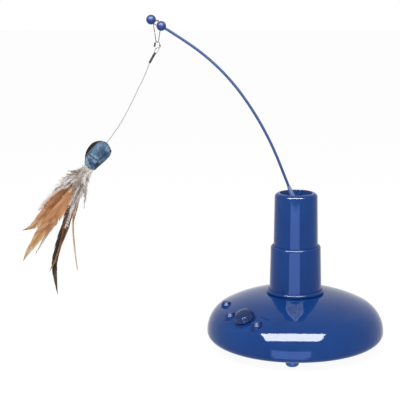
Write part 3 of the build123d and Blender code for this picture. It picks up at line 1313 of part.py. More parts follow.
def make_all():
    """Makes every piece, in the order in which later ones need earlier ones."""
    nodes["base_dome"] = base_dome()
    nodes["base_plate"] = base_plate()
    nodes["feet"] = feet()
    nodes["case_screws"] = case_screws()
    nodes["battery_door"] = battery_door()
    for index in range(CELL_COUNT):
        nodes[f"battery_{index + 1}"] = battery_cell(index)
    nodes["battery_contacts"] = battery_contacts()
    nodes["tower_sleeve"] = tower_sleeve()
    nodes["tower_head"] = tower_head()
    nodes["tower_screws"] = tower_screws()
    nodes["gearbox_lower_plate"] = lower_plate()
    nodes["gearbox_upper_plate"] = upper_plate()
    nodes["gearbox_screws"] = gearbox_screws()
    nodes["motor_can"] = motor_can()
    nodes["motor_end_cap"] = motor_cap()
    nodes["motor_screws"] = motor_screws()
    pinion_top = PINION_Z + GEAR_FACE + SEAT_GAP
    nodes["motor_shaft"] = rod(MOTOR_SHAFT_RADIUS, GEARBOX_Z - MOTOR_SHAFT_DEPTH, pinion_top)
    nodes["motor_pinion"] = gear(SMALL_TEETH, PINION_Z, pinion_top, MOTOR_SHAFT_RADIUS)
    nodes["idler_gear"] = idler_wheel()
    nodes["idler_axle"] = rod(IDLER_AXLE_RADIUS, GEARBOX_Z, HEAD_Z, AXLE_DISTANCE, 0)
    nodes["output_gear"] = output_gear()
    nodes["output_shaft"] = rod(OUTPUT_SHAFT_RADIUS, OUTPUT_Z, SHAFT_TOP_Z)
    nodes["shaft_bush"] = ring(
        BUSH_RADIUS, OUTPUT_SHAFT_RADIUS + RUNNING, CUP_FLOOR_Z - BUSH_LENGTH, CUP_FLOOR_Z
    )
    nodes["wand_hub"] = wand_hub()
    nodes["wand_rod"] = wand_rod()
    nodes["wand_ferrule"] = ferrule_blank() - nodes["wand_rod"]
    nodes["ball_inner"], nodes["ball_end"] = balls()
    nodes["tip_link"] = tip_link()
    nodes["snap_clip"] = snap_clip()
    nodes["clip_ring"] = clip_ring()
    corners = clip_ring_corners()
    nodes["ring_collar_long"] = ring_collar(
        corners[0], corners[1], 0.5, LONG_COLLAR_LENGTH, LONG_COLLAR_RADIUS
    )
    nodes["ring_collar_short"] = ring_collar(
        corners[3], corners[2], 0.62, SHORT_COLLAR_LENGTH, SHORT_COLLAR_RADIUS
    )
    nodes["line_loop"] = line_loop()
    nodes["toy_line"] = toy_line()
    nodes["crimp_sleeve"] = crimp_sleeve()
    nodes["toy_body"] = toy_body()
    nodes["toy_back"] = toy_back()
    for name, (layer, start, left, right, tip) in FEATHERS.items():
        nodes[name] = feather(layer, start, left, right, tip)
    nodes["down_tuft"] = down_tuft()
    nodes["speed_control"] = speed_control()
    nodes["control_nut"] = control_nut()
    nodes["control_shaft"] = control_shaft()
    nodes["speed_knob"] = speed_knob()
    nodes["control_board"] = control_board()
    nodes["board_screws"] = board_screws()
    nodes["side_board"] = side_board()
    for side in BUTTON_SEATS:
        nodes[f"switch_{side}"] = tact_switch(side)
        nodes[f"button_{side}"] = button(side)


make_all()
os.makedirs("parts", exist_ok=True)
for name, shape in nodes.items():
    export_step(shape, f"parts/{name}.step")
print("knob seat", KNOB_SEAT.position, Plane(KNOB_SEAT).z_dir)
print("ball line", wand_point(WAND_TIP.X, WAND_TIP.Y), wand_point(*tip_point(BALL_SPACING / 2)))
print("ring top", hung(RING_TOP), "ring bottom", hung(RING_BOTTOM))
print("tower seat", SEAT_Z, "tower top", TOWER_TOP_Z)
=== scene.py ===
import bpy
import bmesh
import math
import random
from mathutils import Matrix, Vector


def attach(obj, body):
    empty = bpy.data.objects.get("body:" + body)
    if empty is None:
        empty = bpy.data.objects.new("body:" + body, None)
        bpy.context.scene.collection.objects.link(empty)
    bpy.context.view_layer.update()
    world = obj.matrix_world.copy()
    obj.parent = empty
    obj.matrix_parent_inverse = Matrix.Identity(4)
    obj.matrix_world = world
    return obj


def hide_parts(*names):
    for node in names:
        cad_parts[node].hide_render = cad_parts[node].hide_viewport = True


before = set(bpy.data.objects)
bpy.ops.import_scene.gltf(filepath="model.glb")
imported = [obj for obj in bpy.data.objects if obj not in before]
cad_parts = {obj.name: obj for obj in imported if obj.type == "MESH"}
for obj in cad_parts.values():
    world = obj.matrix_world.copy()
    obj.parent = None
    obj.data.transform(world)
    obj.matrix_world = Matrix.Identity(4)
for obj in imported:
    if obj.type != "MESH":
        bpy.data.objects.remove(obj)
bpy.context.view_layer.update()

# Base shell. One injection moulding in gloss blue plastic with a polished skin. The bottom plate
# and the battery door are satin mouldings of the same plastic, screwed or slid on from below.

# Noise seldom leaves the band from NOISE_LOW to NOISE_HIGH. Drifts and grains are patch sizes in
# metres.
NOISE_LOW = 0.3
NOISE_HIGH = 0.7
COLOUR_DRIFT = 0.05
POLISH_DRIFT = 0.012
GRAIN_SIZE = 0.0006
GRAIN_DETAIL = 2.0


def plain_surface(name, roughness, metallic=0.0, specular=0.5, ior=1.5):
    """A material and its shader, with the values that are the same all over it."""
    material = bpy.data.materials.new(name)
    material.use_nodes = True
    shader = material.node_tree.nodes["Principled BSDF"]
    shader.inputs["Roughness"].default_value = roughness
    shader.inputs["Metallic"].default_value = metallic
    shader.inputs["Specular IOR Level"].default_value = specular
    shader.inputs["IOR"].default_value = ior
    return material, shader


def cloudy(shader, size, detail=3.0, stretch=(1.0, 1.0, 1.0)):
    """Noise over the surface whose patches are about the given size in metres."""
    tree = shader.id_data
    place = tree.nodes.new("ShaderNodeTexCoord")
    spread = tree.nodes.new("ShaderNodeMapping")
    spread.inputs["Scale"].default_value = stretch
    noise = tree.nodes.new("ShaderNodeTexNoise")
    noise.inputs["Scale"].default_value = 1.0 / size
    noise.inputs["Detail"].default_value = detail
    tree.links.new(place.outputs["Object"], spread.inputs["Vector"])
    tree.links.new(spread.outputs["Vector"], noise.inputs["Vector"])
    return noise.outputs["Fac"]


def shade_between(shader, source, *stops):
    """Base colour that runs through the stops, each a place and a colour, as the source rises."""
    tree = shader.id_data
    ramp = tree.nodes.new("ShaderNodeValToRGB")
    while len(ramp.color_ramp.elements) < len(stops):
        ramp.color_ramp.elements.new(0.5)
    for element, (place, colour) in zip(ramp.color_ramp.elements, stops):
        element.position = place
        element.color = (*colour, 1.0)
    tree.links.new(source, ramp.inputs["Fac"])
    tree.links.new(ramp.outputs["Color"], shader.inputs["Base Color"])
    return ramp


def wear(shader, source, smooth, rough):
    """Roughness that runs from smooth to rough as the source rises."""
    tree = shader.id_data
    spread = tree.nodes.new("ShaderNodeMapRange")
    spread.inputs["From Min"].default_value = NOISE_LOW
    spread.inputs["From Max"].default_value = NOISE_HIGH
    spread.inputs["To Min"].default_value = smooth
    spread.inputs["To Max"].default_value = rough
    tree.links.new(source, spread.inputs["Value"])
    tree.links.new(spread.outputs["Result"], shader.inputs["Roughness"])


def relief(shader, source, height):
    """Bump of the given height in metres from the source."""
    tree = shader.id_data
    bump = tree.nodes.new("ShaderNodeBump")
    bump.inputs["Distance"].default_value = height
    bump.inputs["Strength"].default_value = 1.0
    tree.links.new(source, bump.inputs["Height"])
    tree.links.new(bump.outputs["Normal"], shader.inputs["Normal"])


def moulded(name, dark, light, smooth, rough, specular=0.5, grain=0.0, ior=1.5):
    """Moulded plastic: a faint drift of colour and polish, with a fine grain where it has one."""
    material, shader = plain_surface(name, smooth, specular=specular, ior=ior)
    shade_between(shader, cloudy(shader, COLOUR_DRIFT), (NOISE_LOW, dark), (NOISE_HIGH, light))
    wear(shader, cloudy(shader, POLISH_DRIFT), smooth, rough)
    if grain:
        relief(shader, cloudy(shader, GRAIN_SIZE, GRAIN_DETAIL), grain)
    return material


def dress(material, *names):
    """Gives solids that keep their shape their finished surface."""
    for name in names:
        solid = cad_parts[name]
        solid.data.materials.clear()
        solid.data.materials.append(material)


gloss_blue = moulded(
    "gloss_blue", (0.0055, 0.043, 0.200), (0.0075, 0.053, 0.230), smooth=0.04, rough=0.07, ior=1.25,
)
gloss_shader = gloss_blue.node_tree.nodes["Principled BSDF"]
gloss_shader.inputs["Sheen Weight"].default_value = 0.10
gloss_shader.inputs["Sheen Roughness"].default_value = 0.25
gloss_shader.inputs["Sheen Tint"].default_value = (0.42, 0.40, 1.0, 1.0)
satin_blue = moulded(
    "satin_blue", (0.010, 0.042, 0.20), (0.013, 0.052, 0.23),
    smooth=0.3, rough=0.4, specular=0.4, grain=0.00004,
)
dress(gloss_blue, "base_dome")
dress(satin_blue, "base_plate", "battery_door")

# Feet. Four soft blue mouldings pressed into the plate, dull and a little scuffed where they stand
# on the floor. Their blue is far lighter than the plate's, as painted light on pieces that sit in
# the base's shade.

foot_rubber_painted_light = moulded(
    "foot_rubber_painted_light", (0.055, 0.160, 0.52), (0.070, 0.190, 0.60),
    smooth=0.35, rough=0.5, specular=0.4, grain=0.00005,
)
dress(foot_rubber_painted_light, "feet")

# Battery box. Three C cells in dark printed jackets, between bright plated leaf contacts that
# are pushed into the ends of the box.

cell_jacket = moulded(
    "cell_jacket", (0.02, 0.02, 0.024), (0.035, 0.034, 0.04), smooth=0.22, rough=0.34,
)
dress(cell_jacket, "battery_1", "battery_2", "battery_3")

# Sizes in metres of the tarnished patches and of the rubbed streaks in bare or plated metal.
TARNISH_DRIFT = 0.004
STREAK_SIZE = 0.001
STREAK_DETAIL = 4.0


def metal(name, dark, light, smooth, rough, stretch=(1.0, 1.0, 1.0)):
    """Bare or plated metal with drawn or rubbed streaks in its polish."""
    material, shader = plain_surface(name, smooth, metallic=1.0)
    shade_between(shader, cloudy(shader, TARNISH_DRIFT), (0.35, dark), (0.65, light))
    wear(shader, cloudy(shader, STREAK_SIZE, STREAK_DETAIL, stretch), smooth, rough)
    return material


nickel_plate = metal(
    "nickel_plate", (0.62, 0.61, 0.57), (0.74, 0.73, 0.70), smooth=0.16, rough=0.32,
)
dress(nickel_plate, "battery_contacts")

# Tower. A wide lower sleeve with a bead at its foot and a rolled lip, and a narrower head that
# stands in it. Both are polished mouldings of the base's plastic, screwed together from inside.

dress(gloss_blue, "tower_sleeve", "tower_head")

# Motor and gears. A small steel-cased motor hangs under a gearbox of two plain plates, with
# natural white gears on a steel axle and shaft, and a brass pinion and bush.

plate_plastic = moulded(
    "plate_plastic", (0.50, 0.50, 0.48), (0.60, 0.60, 0.57),
    smooth=0.4, rough=0.5, specular=0.4, grain=0.00003,
)
gear_plastic = moulded(
    "gear_plastic", (0.74, 0.73, 0.66), (0.82, 0.81, 0.75),
    smooth=0.3, rough=0.42, specular=0.45, grain=0.00002,
)
black_plastic = moulded(
    "black_plastic", (0.012, 0.012, 0.013), (0.028, 0.028, 0.030),
    smooth=0.35, rough=0.5, specular=0.4, grain=0.00002,
)
bright_steel = metal(
    "bright_steel", (0.46, 0.47, 0.49), (0.60, 0.61, 0.63),
    smooth=0.22, rough=0.38, stretch=(1.0, 1.0, 6.0),
)
turned_brass = metal(
    "turned_brass", (0.62, 0.42, 0.17), (0.74, 0.53, 0.25),
    smooth=0.2, rough=0.34, stretch=(1.0, 1.0, 8.0),
)
dress(plate_plastic, "gearbox_lower_plate", "gearbox_upper_plate")
dress(bright_steel, "motor_can", "motor_shaft", "idler_axle", "output_shaft")
dress(black_plastic, "motor_end_cap")
dress(turned_brass, "motor_pinion", "shaft_bush")
dress(gear_plastic, "idler_gear", "output_gear")

# Screws. Zinc-plated steel with cross slots. They hold the plate, the tower, the gearbox, the
# motor and the boards, and those in plastic are driven into plain moulded holes.

zinc_screw = metal("zinc_screw", (0.50, 0.50, 0.50), (0.66, 0.65, 0.62), smooth=0.28, rough=0.45)
dress(zinc_screw, "case_screws", "tower_screws", "gearbox_screws", "motor_screws", "board_screws")

# Controls. A ribbed knob pressed on a rotary control that is clamped to the dome by a nut, and
# three tapered push buttons over small switches on two green boards.

knob_blue = moulded(
    "knob_blue", (0.003, 0.019, 0.095), (0.005, 0.025, 0.120), smooth=0.10, rough=0.16, ior=1.3,
)
button_blue = moulded(
    "button_blue", (0.006, 0.034, 0.155), (0.008, 0.042, 0.180),
    smooth=0.30, rough=0.38, specular=0.3, ior=1.27,
)
board_green = moulded(
    "board_green", (0.02, 0.10, 0.05), (0.03, 0.15, 0.07), smooth=0.25, rough=0.4,
)
dress(knob_blue, "speed_knob")
dress(button_blue, "button_left", "button_right", "button_side")
dress(bright_steel, "speed_control", "control_nut", "control_shaft")
dress(board_green, "control_board", "side_board")
dress(black_plastic, "switch_left", "switch_right", "switch_side")

# Wand. A springy blue rod, bent by its own set, glued into a pale tapered sleeve that plugs
# into the leaning socket of the turning hub. Two balls close its tip.

rod_blue = moulded(
    "rod_blue", (0.012, 0.056, 0.205), (0.018, 0.072, 0.245),
    smooth=0.55, rough=0.65, specular=0.12,
)
ball_blue = moulded(
    "ball_blue", (0.014, 0.046, 0.205), (0.020, 0.058, 0.250),
    smooth=0.45, rough=0.52, specular=0.2,
)
pale_sleeve = moulded(
    "pale_sleeve", (0.12, 0.18, 0.42), (0.17, 0.24, 0.50), smooth=0.25, rough=0.35,
)
dress(gloss_blue, "wand_hub")
dress(rod_blue, "wand_rod")
dress(pale_sleeve, "wand_ferrule")
dress(ball_blue, "ball_inner", "ball_end")

# Snap and ring. Bent from nickel-plated spring wire: an oval link through both balls, a snap
# that hangs from it, and a ring with two blackened collars crimped round its sides.

snap_wire = metal(
    "snap_wire", (0.020, 0.018, 0.012), (0.085, 0.074, 0.060), smooth=0.3, rough=0.45,
)
ring_wire = metal(
    "ring_wire", (0.10, 0.096, 0.078), (0.24, 0.23, 0.20), smooth=0.25, rough=0.4,
)
black_collar = moulded(
    "black_collar", (0.015, 0.014, 0.012), (0.04, 0.038, 0.034), smooth=0.3, rough=0.5,
)
dress(snap_wire, "tip_link", "snap_clip")
dress(ring_wire, "clip_ring")
dress(black_collar, "ring_collar_long", "ring_collar_short")

# Line. Clear nylon, looped through the ring and gripped in a black ribbed sleeve, then running
# down to the stuffed toy in one long shallow curve.

clear_nylon = moulded(
    "clear_nylon", (0.36, 0.36, 0.37), (0.46, 0.46, 0.47), smooth=0.4, rough=0.5, specular=0.3,
)
dress(clear_nylon, "line_loop")
dress(black_plastic, "crimp_sleeve")

# The wand's upright plane stands at this angle round the tower. Its tip is given in millimetres
# out from the tower's axis and up from the floor.
WAND_AZIMUTH = math.radians(170.0)
WAND_TIP = (163.188, 379.953)

# A metre in millimetres.
METRE = 1000.0


def hung(out, down, behind=0.0):
    """A point in metres, from millimetres out from the wand's tip, down from it and behind it."""
    along = (WAND_TIP[0] + out) / METRE
    behind = behind / METRE
    x = along * math.cos(WAND_AZIMUTH) + behind * math.sin(WAND_AZIMUTH)
    y = along * math.sin(WAND_AZIMUTH) - behind * math.cos(WAND_AZIMUTH)
    return Vector((x, y, (WAND_TIP[1] - down) / METRE))


def placed(name, data):
    """A new object of the scene."""
    made = bpy.data.objects.new(name, data)
    bpy.context.scene.collection.objects.link(made)
    return made


LINE_POINTS = ((15.2, 43.4), (20.8, 58.0), (30.0, 74.5), (41.0, 96.0), (56.0, 122.0), (71.4, 140.8))
LINE_DIAMETER = 0.001

line_curve = bpy.data.curves.new("line", "CURVE")
line_curve.dimensions = "3D"
line_run = line_curve.splines.new("NURBS")
line_run.points.add(len(LINE_POINTS) - 1)
for point, (out, down) in zip(line_run.points, LINE_POINTS):
    point.co = (*hung(out, down), 1.0)
line_run.order_u = 3
line_run.use_endpoint_u = True
line_curve.bevel_depth = LINE_DIAMETER / 2
line_curve.bevel_resolution = 3
line_curve.resolution_u = 16
line_curve.materials.append(clear_nylon)
line = placed("line", line_curve)
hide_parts("toy_line")
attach(line, "leader")

# Stuffed body. Washed denim, sewn from shaped panels with their edges turned in, filled firm so
# that each panel swells between its seams, and closed over the feathers' quills.

# Flat points in the wand's plane, in millimetres out from the tower's axis and up from the
# floor.
BODY_OUTLINE = (
    (244.8, 239.6), (239.0, 240.6), (233.3, 237.4), (229.4, 229.1), (232.0, 221.9), (239.8, 214.2),
    (247.0, 208.4), (251.9, 204.3), (257.7, 207.4), (263.1, 210.8), (262.7, 218.6), (258.4, 226.6),
    (251.2, 234.4),
)
BODY_CENTRE = (246.5, 222.5)
BODY_DEPTH = 11.0
PANEL_SEAMS = (
    ((253.1, 236.5), (256.7, 228.3), (257.6, 221.1), (253.7, 213.8), (251.9, 204.9)),
    ((257.2, 225.9), (250.5, 222.0), (243.4, 217.5)),
    ((229.4, 229.1), (235.7, 223.1), (243.4, 217.5), (247.7, 208.4)),
)


def placed_mesh(name, mesh):
    """A new object of the scene, with the mesh that was built for it."""
    data = bpy.data.meshes.new(name)
    mesh.to_mesh(data)
    mesh.free()
    return placed(name, data)


def sewn(along, height, behind=0.0):
    """A point in metres, from millimetres in the wand's upright plane and behind it."""
    return hung(along - WAND_TIP[0], WAND_TIP[1] - height, behind)


def between(a, b, c, d, t):
    """A value from b to c, flowing as the values on both sides of them do."""
    return 0.5 * (
        2 * b + (c - a) * t + (2 * a - 5 * b + 4 * c - d) * t**2 + (3 * b - a - 3 * c + d) * t**3
    )


def eased(points, count, closed=False):
    """A flowing line through flat points, given by count points evenly spread between them."""
    last = len(points) if closed else len(points) - 1
    made = []
    for i in range(count):
        place = last * i / count if closed else last * i / (count - 1)
        k = min(int(place), last - 1)
        near = []
        for step in (-1, 0, 1, 2):
            j = (k + step) % len(points) if closed else min(max(k + step, 0), last)
            near.append(points[j])
        made.append(tuple(between(*values, place - k) for values in zip(*near)))
    return made


def seam_distance(spot):
    """Distance in millimetres from a flat point to the nearest panel seam."""
    nearest = math.inf
    for seam in PANEL_SEAMS:
        for a, b in zip(seam, seam[1:]):
            run = (b[0] - a[0], b[1] - a[1])
            off = (spot[0] - a[0], spot[1] - a[1])
            t = (off[0] * run[0] + off[1] * run[1]) / (run[0] ** 2 + run[1] ** 2)
            t = min(max(t, 0.0), 1.0)
            nearest = min(nearest, math.hypot(off[0] - run[0] * t, off[1] - run[1] * t))
    return nearest


# Points round the cloth's edge, rings over each of its sides, and how full its crown is.
EDGE_POINTS = 96
CLOTH_RINGS = 30
CROWN_POWER = 2.3

# In millimetres, the groove along a seam and the puckers that the thread pulls beside it.
SEAM_WIDTH = 1.2
SEAM_SINK = 1.6
PUCKER_REACH = 3.0
PUCKER_HEIGHT = 0.35
FAR_FROM_SEAMS = 9.0

# How dark the seams are, how dark the painted shade along the turned-in rim is, and how fast that
# shade fades inwards.
SEAM_SHADE = 0.8
PAINTED_RIM_SHADE = 0.6
RIM_SHARPNESS = 9


def bell(distance):
    """1 at no distance, and falling smoothly to nothing beyond 2."""
    return math.exp(-(distance**2))


def pillow(name, outline, centre, front_depth, back_depth, middle, seams):
    """A sewn form of two crowned sides that meet at a flat outline, with a seam value per point
    that also holds painted shade along the rim.
    """
    edge = eased(outline, EDGE_POINTS, closed=True)
    mesh = bmesh.new()
    seam_and_rim_shade_layer = mesh.verts.layers.float.new("seam")
    sides = []
    for depth in (-front_depth, back_depth):
        in_front = depth < 0
        side = []
        for ring in range(CLOTH_RINGS + 1):
            share = math.sin(math.pi / 2 * ring / CLOTH_RINGS)
            row = []
            for point in edge:
                spot = tuple(c + (e - c) * share for c, e in zip(centre, point))
                crown = depth * (1 - share**CROWN_POWER) ** 0.5
                off = seam_distance(spot) if seams and in_front else FAR_FROM_SEAMS
                groove = bell(off / SEAM_WIDTH)
                ripple = PUCKER_HEIGHT * math.sin(spot[0] * 2.1 + spot[1] * 1.5)
                pulled = groove * SEAM_SINK + ripple * bell(off / PUCKER_REACH)
                vertex = mesh.verts.new(sewn(*spot, middle + crown + pulled * in_front))
                # Painted shade: the cloth darkens towards its outline, where it turns in.
                rim_painted_shade = PAINTED_RIM_SHADE * bell((1 - share) * RIM_SHARPNESS)
                patchy = 0.75 + 0.25 * math.sin(spot[0] * 1.3 + spot[1] * 0.9)
                vertex[seam_and_rim_shade_layer] = max(groove * SEAM_SHADE, rim_painted_shade) * patchy
                row.append(vertex)
            side.append(row)
        sides.append(side)
    for side in sides:
        for inner, outer in zip(side, side[1:]):
            for i in range(len(inner)):
                j = (i + 1) % len(inner)
                mesh.faces.new((inner[i], inner[j], outer[j], outer[i]))
    bmesh.ops.remove_doubles(mesh, verts=mesh.verts, dist=0.00001)
    bmesh.ops.recalc_face_normals(mesh, faces=mesh.faces)
    for face in mesh.faces:
        face.smooth = True
    return placed_mesh(name, mesh)


# The cloth is simulated at ten times its size, because the solver's own distances suit a piece
# as large as that.
CLOTH_SCALE = 10.0
SEAM_HOLD = 1.2
FILLING_PRESSURE = 4.0
FILLING_STEPS = 14


def stuff(piece, cap):
    """Swells the cloth between its held seams, with no point moving further than the cap."""
    held = piece.vertex_groups.new(name="held")
    seam_and_rim_shade_values = [item.value for item in piece.data.attributes["seam"].data]
    start = [vertex.co.copy() for vertex in piece.data.vertices]
    middle = sum(start, Vector()) / len(start)
    for vertex, value in zip(piece.data.vertices, seam_and_rim_shade_values):
        vertex.co = (vertex.co - middle) * CLOTH_SCALE
        held.add([vertex.index], min(1.0, value * SEAM_HOLD), "REPLACE")
    cloth = piece.modifiers.new("filling", "CLOTH")
    cloth.settings.vertex_group_mass = "held"
    cloth.settings.use_pressure = True
    cloth.settings.uniform_pressure_force = FILLING_PRESSURE
    cloth.settings.effector_weights.gravity = 0.0
    cloth.settings.quality = 6
    cloth.point_cache.frame_start = 1
    cloth.point_cache.frame_end = FILLING_STEPS
    for step in range(1, FILLING_STEPS + 1):
        bpy.context.scene.frame_set(step)
    swollen = piece.evaluated_get(bpy.context.evaluated_depsgraph_get())
    ends = [vertex.co.copy() for vertex in swollen.data.vertices]
    piece.modifiers.remove(cloth)
    piece.vertex_groups.remove(held)
    for vertex, begin, end in zip(piece.data.vertices, start, ends):
        move = end / CLOTH_SCALE + middle - begin
        if move.length > cap:
            move *= cap / move.length
        vertex.co = begin + move
    bpy.context.scene.frame_set(1)


# Sizes in metres of the worn patches, of nearly three twill lines and of their threads' height.
WORN_PATCH = 0.009
WORN_DETAIL = 5.0
THREE_TWILL_LINES = 0.0027
THREAD_HEIGHT = 0.00012


def woven(name, stops, seam_and_rim_shade_colour, sheen):
    """Washed cotton: twill lines, worn pale patches, dark seams, and painted shade along the
    turned-in rim.
    """
    material, shader = plain_surface(name, 0.85, specular=0.08)
    shader.inputs["Sheen Weight"].default_value = sheen
    tree = material.node_tree
    ramp = shade_between(shader, cloudy(shader, WORN_PATCH, WORN_DETAIL), *stops)
    # The seam value holds both the dark seams and the painted shade along the rim.
    seam = tree.nodes.new("ShaderNodeAttribute")
    seam.attribute_name = "seam"
    mix = tree.nodes.new("ShaderNodeMix")
    mix.data_type = "RGBA"
    mix.inputs["B"].default_value = (*seam_and_rim_shade_colour, 1.0)
    tree.links.new(seam.outputs["Fac"], mix.inputs["Factor"])
    tree.links.new(ramp.outputs["Color"], mix.inputs["A"])
    tree.links.new(mix.outputs["Result"], shader.inputs["Base Color"])
    place = tree.nodes.new("ShaderNodeTexCoord")
    twill = tree.nodes.new("ShaderNodeTexWave")
    twill.bands_direction = "DIAGONAL"
    twill.inputs["Scale"].default_value = 1.0 / THREE_TWILL_LINES
    twill.inputs["Distortion"].default_value = 1.5
    tree.links.new(place.outputs["Object"], twill.inputs["Vector"])
    relief(shader, twill.outputs["Fac"], THREAD_HEIGHT)
    return material


denim = woven(
    "denim",
    ((0.40, (0.030, 0.074, 0.138)), (0.49, (0.078, 0.155, 0.258)), (0.60, (0.220, 0.325, 0.460))),
    seam_and_rim_shade_colour=(0.008, 0.018, 0.040), sheen=0.12,
)
stuffed_body = pillow(
    "stuffed_body", BODY_OUTLINE, BODY_CENTRE,
    front_depth=BODY_DEPTH, back_depth=BODY_DEPTH * 0.6, middle=0.0, seams=True,
)
stuff(stuffed_body, cap=0.0012)
stuffed_body.data.materials.append(denim)
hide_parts("toy_body")
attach(stuffed_body, "leader")

# Back panel. Near-black cloth, cut a little wider than the front, so that it stands out as a
# dark crescent along the upper left edge where it is gathered into the seam.

BACK_OUTLINE = (
    (246.2, 240.6), (240.0, 240.2), (234.5, 236.2), (231.0, 229.1), (233.4, 222.8), (241.0, 215.6),
    (247.8, 210.0), (252.8, 206.0), (258.4, 207.8), (263.6, 212.0), (264.2, 221.0), (261.0, 230.0),
    (254.2, 237.6),
)
BACK_CENTRE = (248.0, 223.5)
navy_cloth = woven(
    "navy_cloth", ((0.35, (0.0015, 0.002, 0.004)), (0.65, (0.004, 0.006, 0.012))),
    seam_and_rim_shade_colour=(0.001, 0.0015, 0.003), sheen=0.0,
)
back_panel = pillow(
    "back_panel", BACK_OUTLINE, BACK_CENTRE,
    front_depth=1.6, back_depth=9.6, middle=2.0, seams=False,
)
stuff(back_panel, cap=0.0008)
back_panel.data.materials.append(navy_cloth)
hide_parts("toy_back")
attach(back_panel, "leader")

# Feathers. Cock feathers with a stiff quill, and barbs that sweep from it towards the tip on
# both sides. They are gathered by their quills and glued into the stuffed body's lower end.

shaken = random.Random(7)
PLANE_NORMAL = (sewn(0, 0, 1) - sewn(0, 0, 0)).normalized()

# Each point of a barb holds its place along the vane, its place from the quill outwards and its
# tone from barb to barb. A point of the quill holds QUILL_MARK as its place outwards.
BARB_VALUES = ("along", "outward", "tone")
QUILL_MARK = -1.0
QUILL_TONE = 0.5
QUILL_SIDES = 4
BARB_TAPER = 0.8
BARB_STEPS = 4


def mark(vertices, layers, *values):
    """Writes the three values of a barb or quill to its points."""
    for vertex in vertices:
        for layer, value in zip(layers, values):
            vertex[layer] = value


def ribbon(mesh, layers, points, width, along, tone):
    """A thin barb through the points, tapering to its end, with its values for the colour."""
    rows = []
    last = len(points) - 1
    for i, point in enumerate(points):
        outward = i / last
        ahead = points[min(i + 1, last)] - points[max(i - 1, 0)]
        across = ahead.cross(PLANE_NORMAL).normalized() * width
        across = across * (1.0 - BARB_TAPER * outward**2) / 2
        row = [mesh.verts.new(point - across), mesh.verts.new(point + across)]
        mark(row, layers, along, outward, tone)
        rows.append(row)
    for (a, b), (c, d) in zip(rows, rows[1:]):
        mesh.faces.new((a, b, d, c)).smooth = True


def quill(mesh, layers, points, thick, thin):
    """A tapered four-sided quill through the points."""
    rows = []
    last = len(points) - 1
    for i, point in enumerate(points):
        ahead = (points[min(i + 1, last)] - points[max(i - 1, 0)]).normalized()
        across = ahead.cross(PLANE_NORMAL)
        radius = thick + (thin - thick) * i / last
        row = []
        for side in range(QUILL_SIDES):
            angle = 2 * math.pi / QUILL_SIDES * side
            out = across * math.cos(angle) + PLANE_NORMAL * math.sin(angle)
            row.append(mesh.verts.new(point + out * radius))
        mark(row, layers, i / last, QUILL_MARK, QUILL_TONE)
        rows.append(row)
    for low, high in zip(rows, rows[1:]):
        for i in range(QUILL_SIDES):
            j = (i + 1) % QUILL_SIDES
            mesh.faces.new((low[i], low[j], high[j], high[i])).smooth = True


def new_plumage():
    """An empty mesh with the three values that the feathers' colours follow."""
    mesh = bmesh.new()
    layers = [mesh.verts.layers.float.new(word) for word in BARB_VALUES]
    return mesh, layers


def finish_plumage(mesh, name, material, node):
    """Turns the mesh into a piece that stands for its solid and moves with the line."""
    piece = placed_mesh(name, mesh)
    piece.data.materials.append(material)
    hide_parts(node)
    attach(piece, "leader")
    return piece


# Places along a vane are counted in VANE_ROWS rows. A barb leaves the quill at one row and meets
# the vane's edge some rows further on. Barbs are loose over the vane's first LOOSE_SHARE. Widths,
# in metres, are of a firm and of a loose barb.
VANE_ROWS = 200
ROWS_LEFT_AT_TIP = 14
BARB_ROWS_LEAST = 9
BARB_ROWS_MORE = 12
LOOSE_SHARE = 0.45
FIRM_WIDTH = 0.0013
LOOSE_WIDTH = 0.0007
BARB_SWELL = 0.9
BARB_SWEEP = 0.18

# The quill bows over VANE_ARCH radians of a sine. It has a point every QUILL_ROWS rows, lies a
# little in front of the barbs, in millimetres, and its radii at both ends are in metres.
VANE_ARCH = 3.0
QUILL_ROWS = 8
QUILL_IN_FRONT = 0.35
QUILL_FOOT = 0.00042
QUILL_TIP = 0.0001

# How far barbs end short of or past the vane's edge, as a share of their length: firm barbs by
# the first, and loose ones by the second as well.
UNEVEN_END = (-0.1, 0.06)
LOOSE_END = (0.1, 1.1)

# Wisps: length in millimetres, turn from the edge in degrees, width in metres, and the part of
# the edge that they leave.
WISP_LENGTH = (5.0, 16.0)
WISP_TURN = (12.0, 44.0)
WISP_WIDTH = (0.0002, 0.0004)
WISPS_BEGIN = 0.04
WISPS_RUN = 0.58


def towards(a, b, share):
    """The flat point that lies the given share of the way from one point to another."""
    return tuple(p + (q - p) * share for p, q in zip(a, b))


def barb_tone(share, behind, sign):
    """A tone that drifts along the vane, differs on its two sides and from barb to barb."""
    return 0.5 + 0.3 * math.sin(share * 31.0 + behind * 2.0 + sign) + shaken.uniform(-0.12, 0.12)


def wisp(mesh, layers, edge, k, behind):
    """A fine downy thread that leaves the vane's edge at row k and curls away from it."""
    foot = edge[k]
    ahead = (edge[k + 4][0] - foot[0], edge[k + 4][1] - foot[1])
    size = math.hypot(*ahead)
    length = shaken.uniform(*WISP_LENGTH) * (1.15 - k / VANE_ROWS)
    turn = math.radians(shaken.uniform(*WISP_TURN))
    way = (
        (ahead[0] * math.cos(turn) - ahead[1] * math.sin(turn)) / size,
        (ahead[0] * math.sin(turn) + ahead[1] * math.cos(turn)) / size,
    )
    points = []
    for step in range(BARB_STEPS + 1):
        t = step / BARB_STEPS
        bend = math.sin(math.pi * t * 0.5) * shaken.uniform(-0.4, 0.9)
        points.append(sewn(
            foot[0] + way[0] * length * (t - 0.15) + way[1] * bend,
            foot[1] + way[1] * length * (t - 0.15) - way[0] * bend,
            behind + shaken.uniform(-1.0, 1.2) * t,
        ))
    width = shaken.uniform(*WISP_WIDTH)
    ribbon(mesh, layers, points, width, 0.0, shaken.uniform(0.0, 0.22))


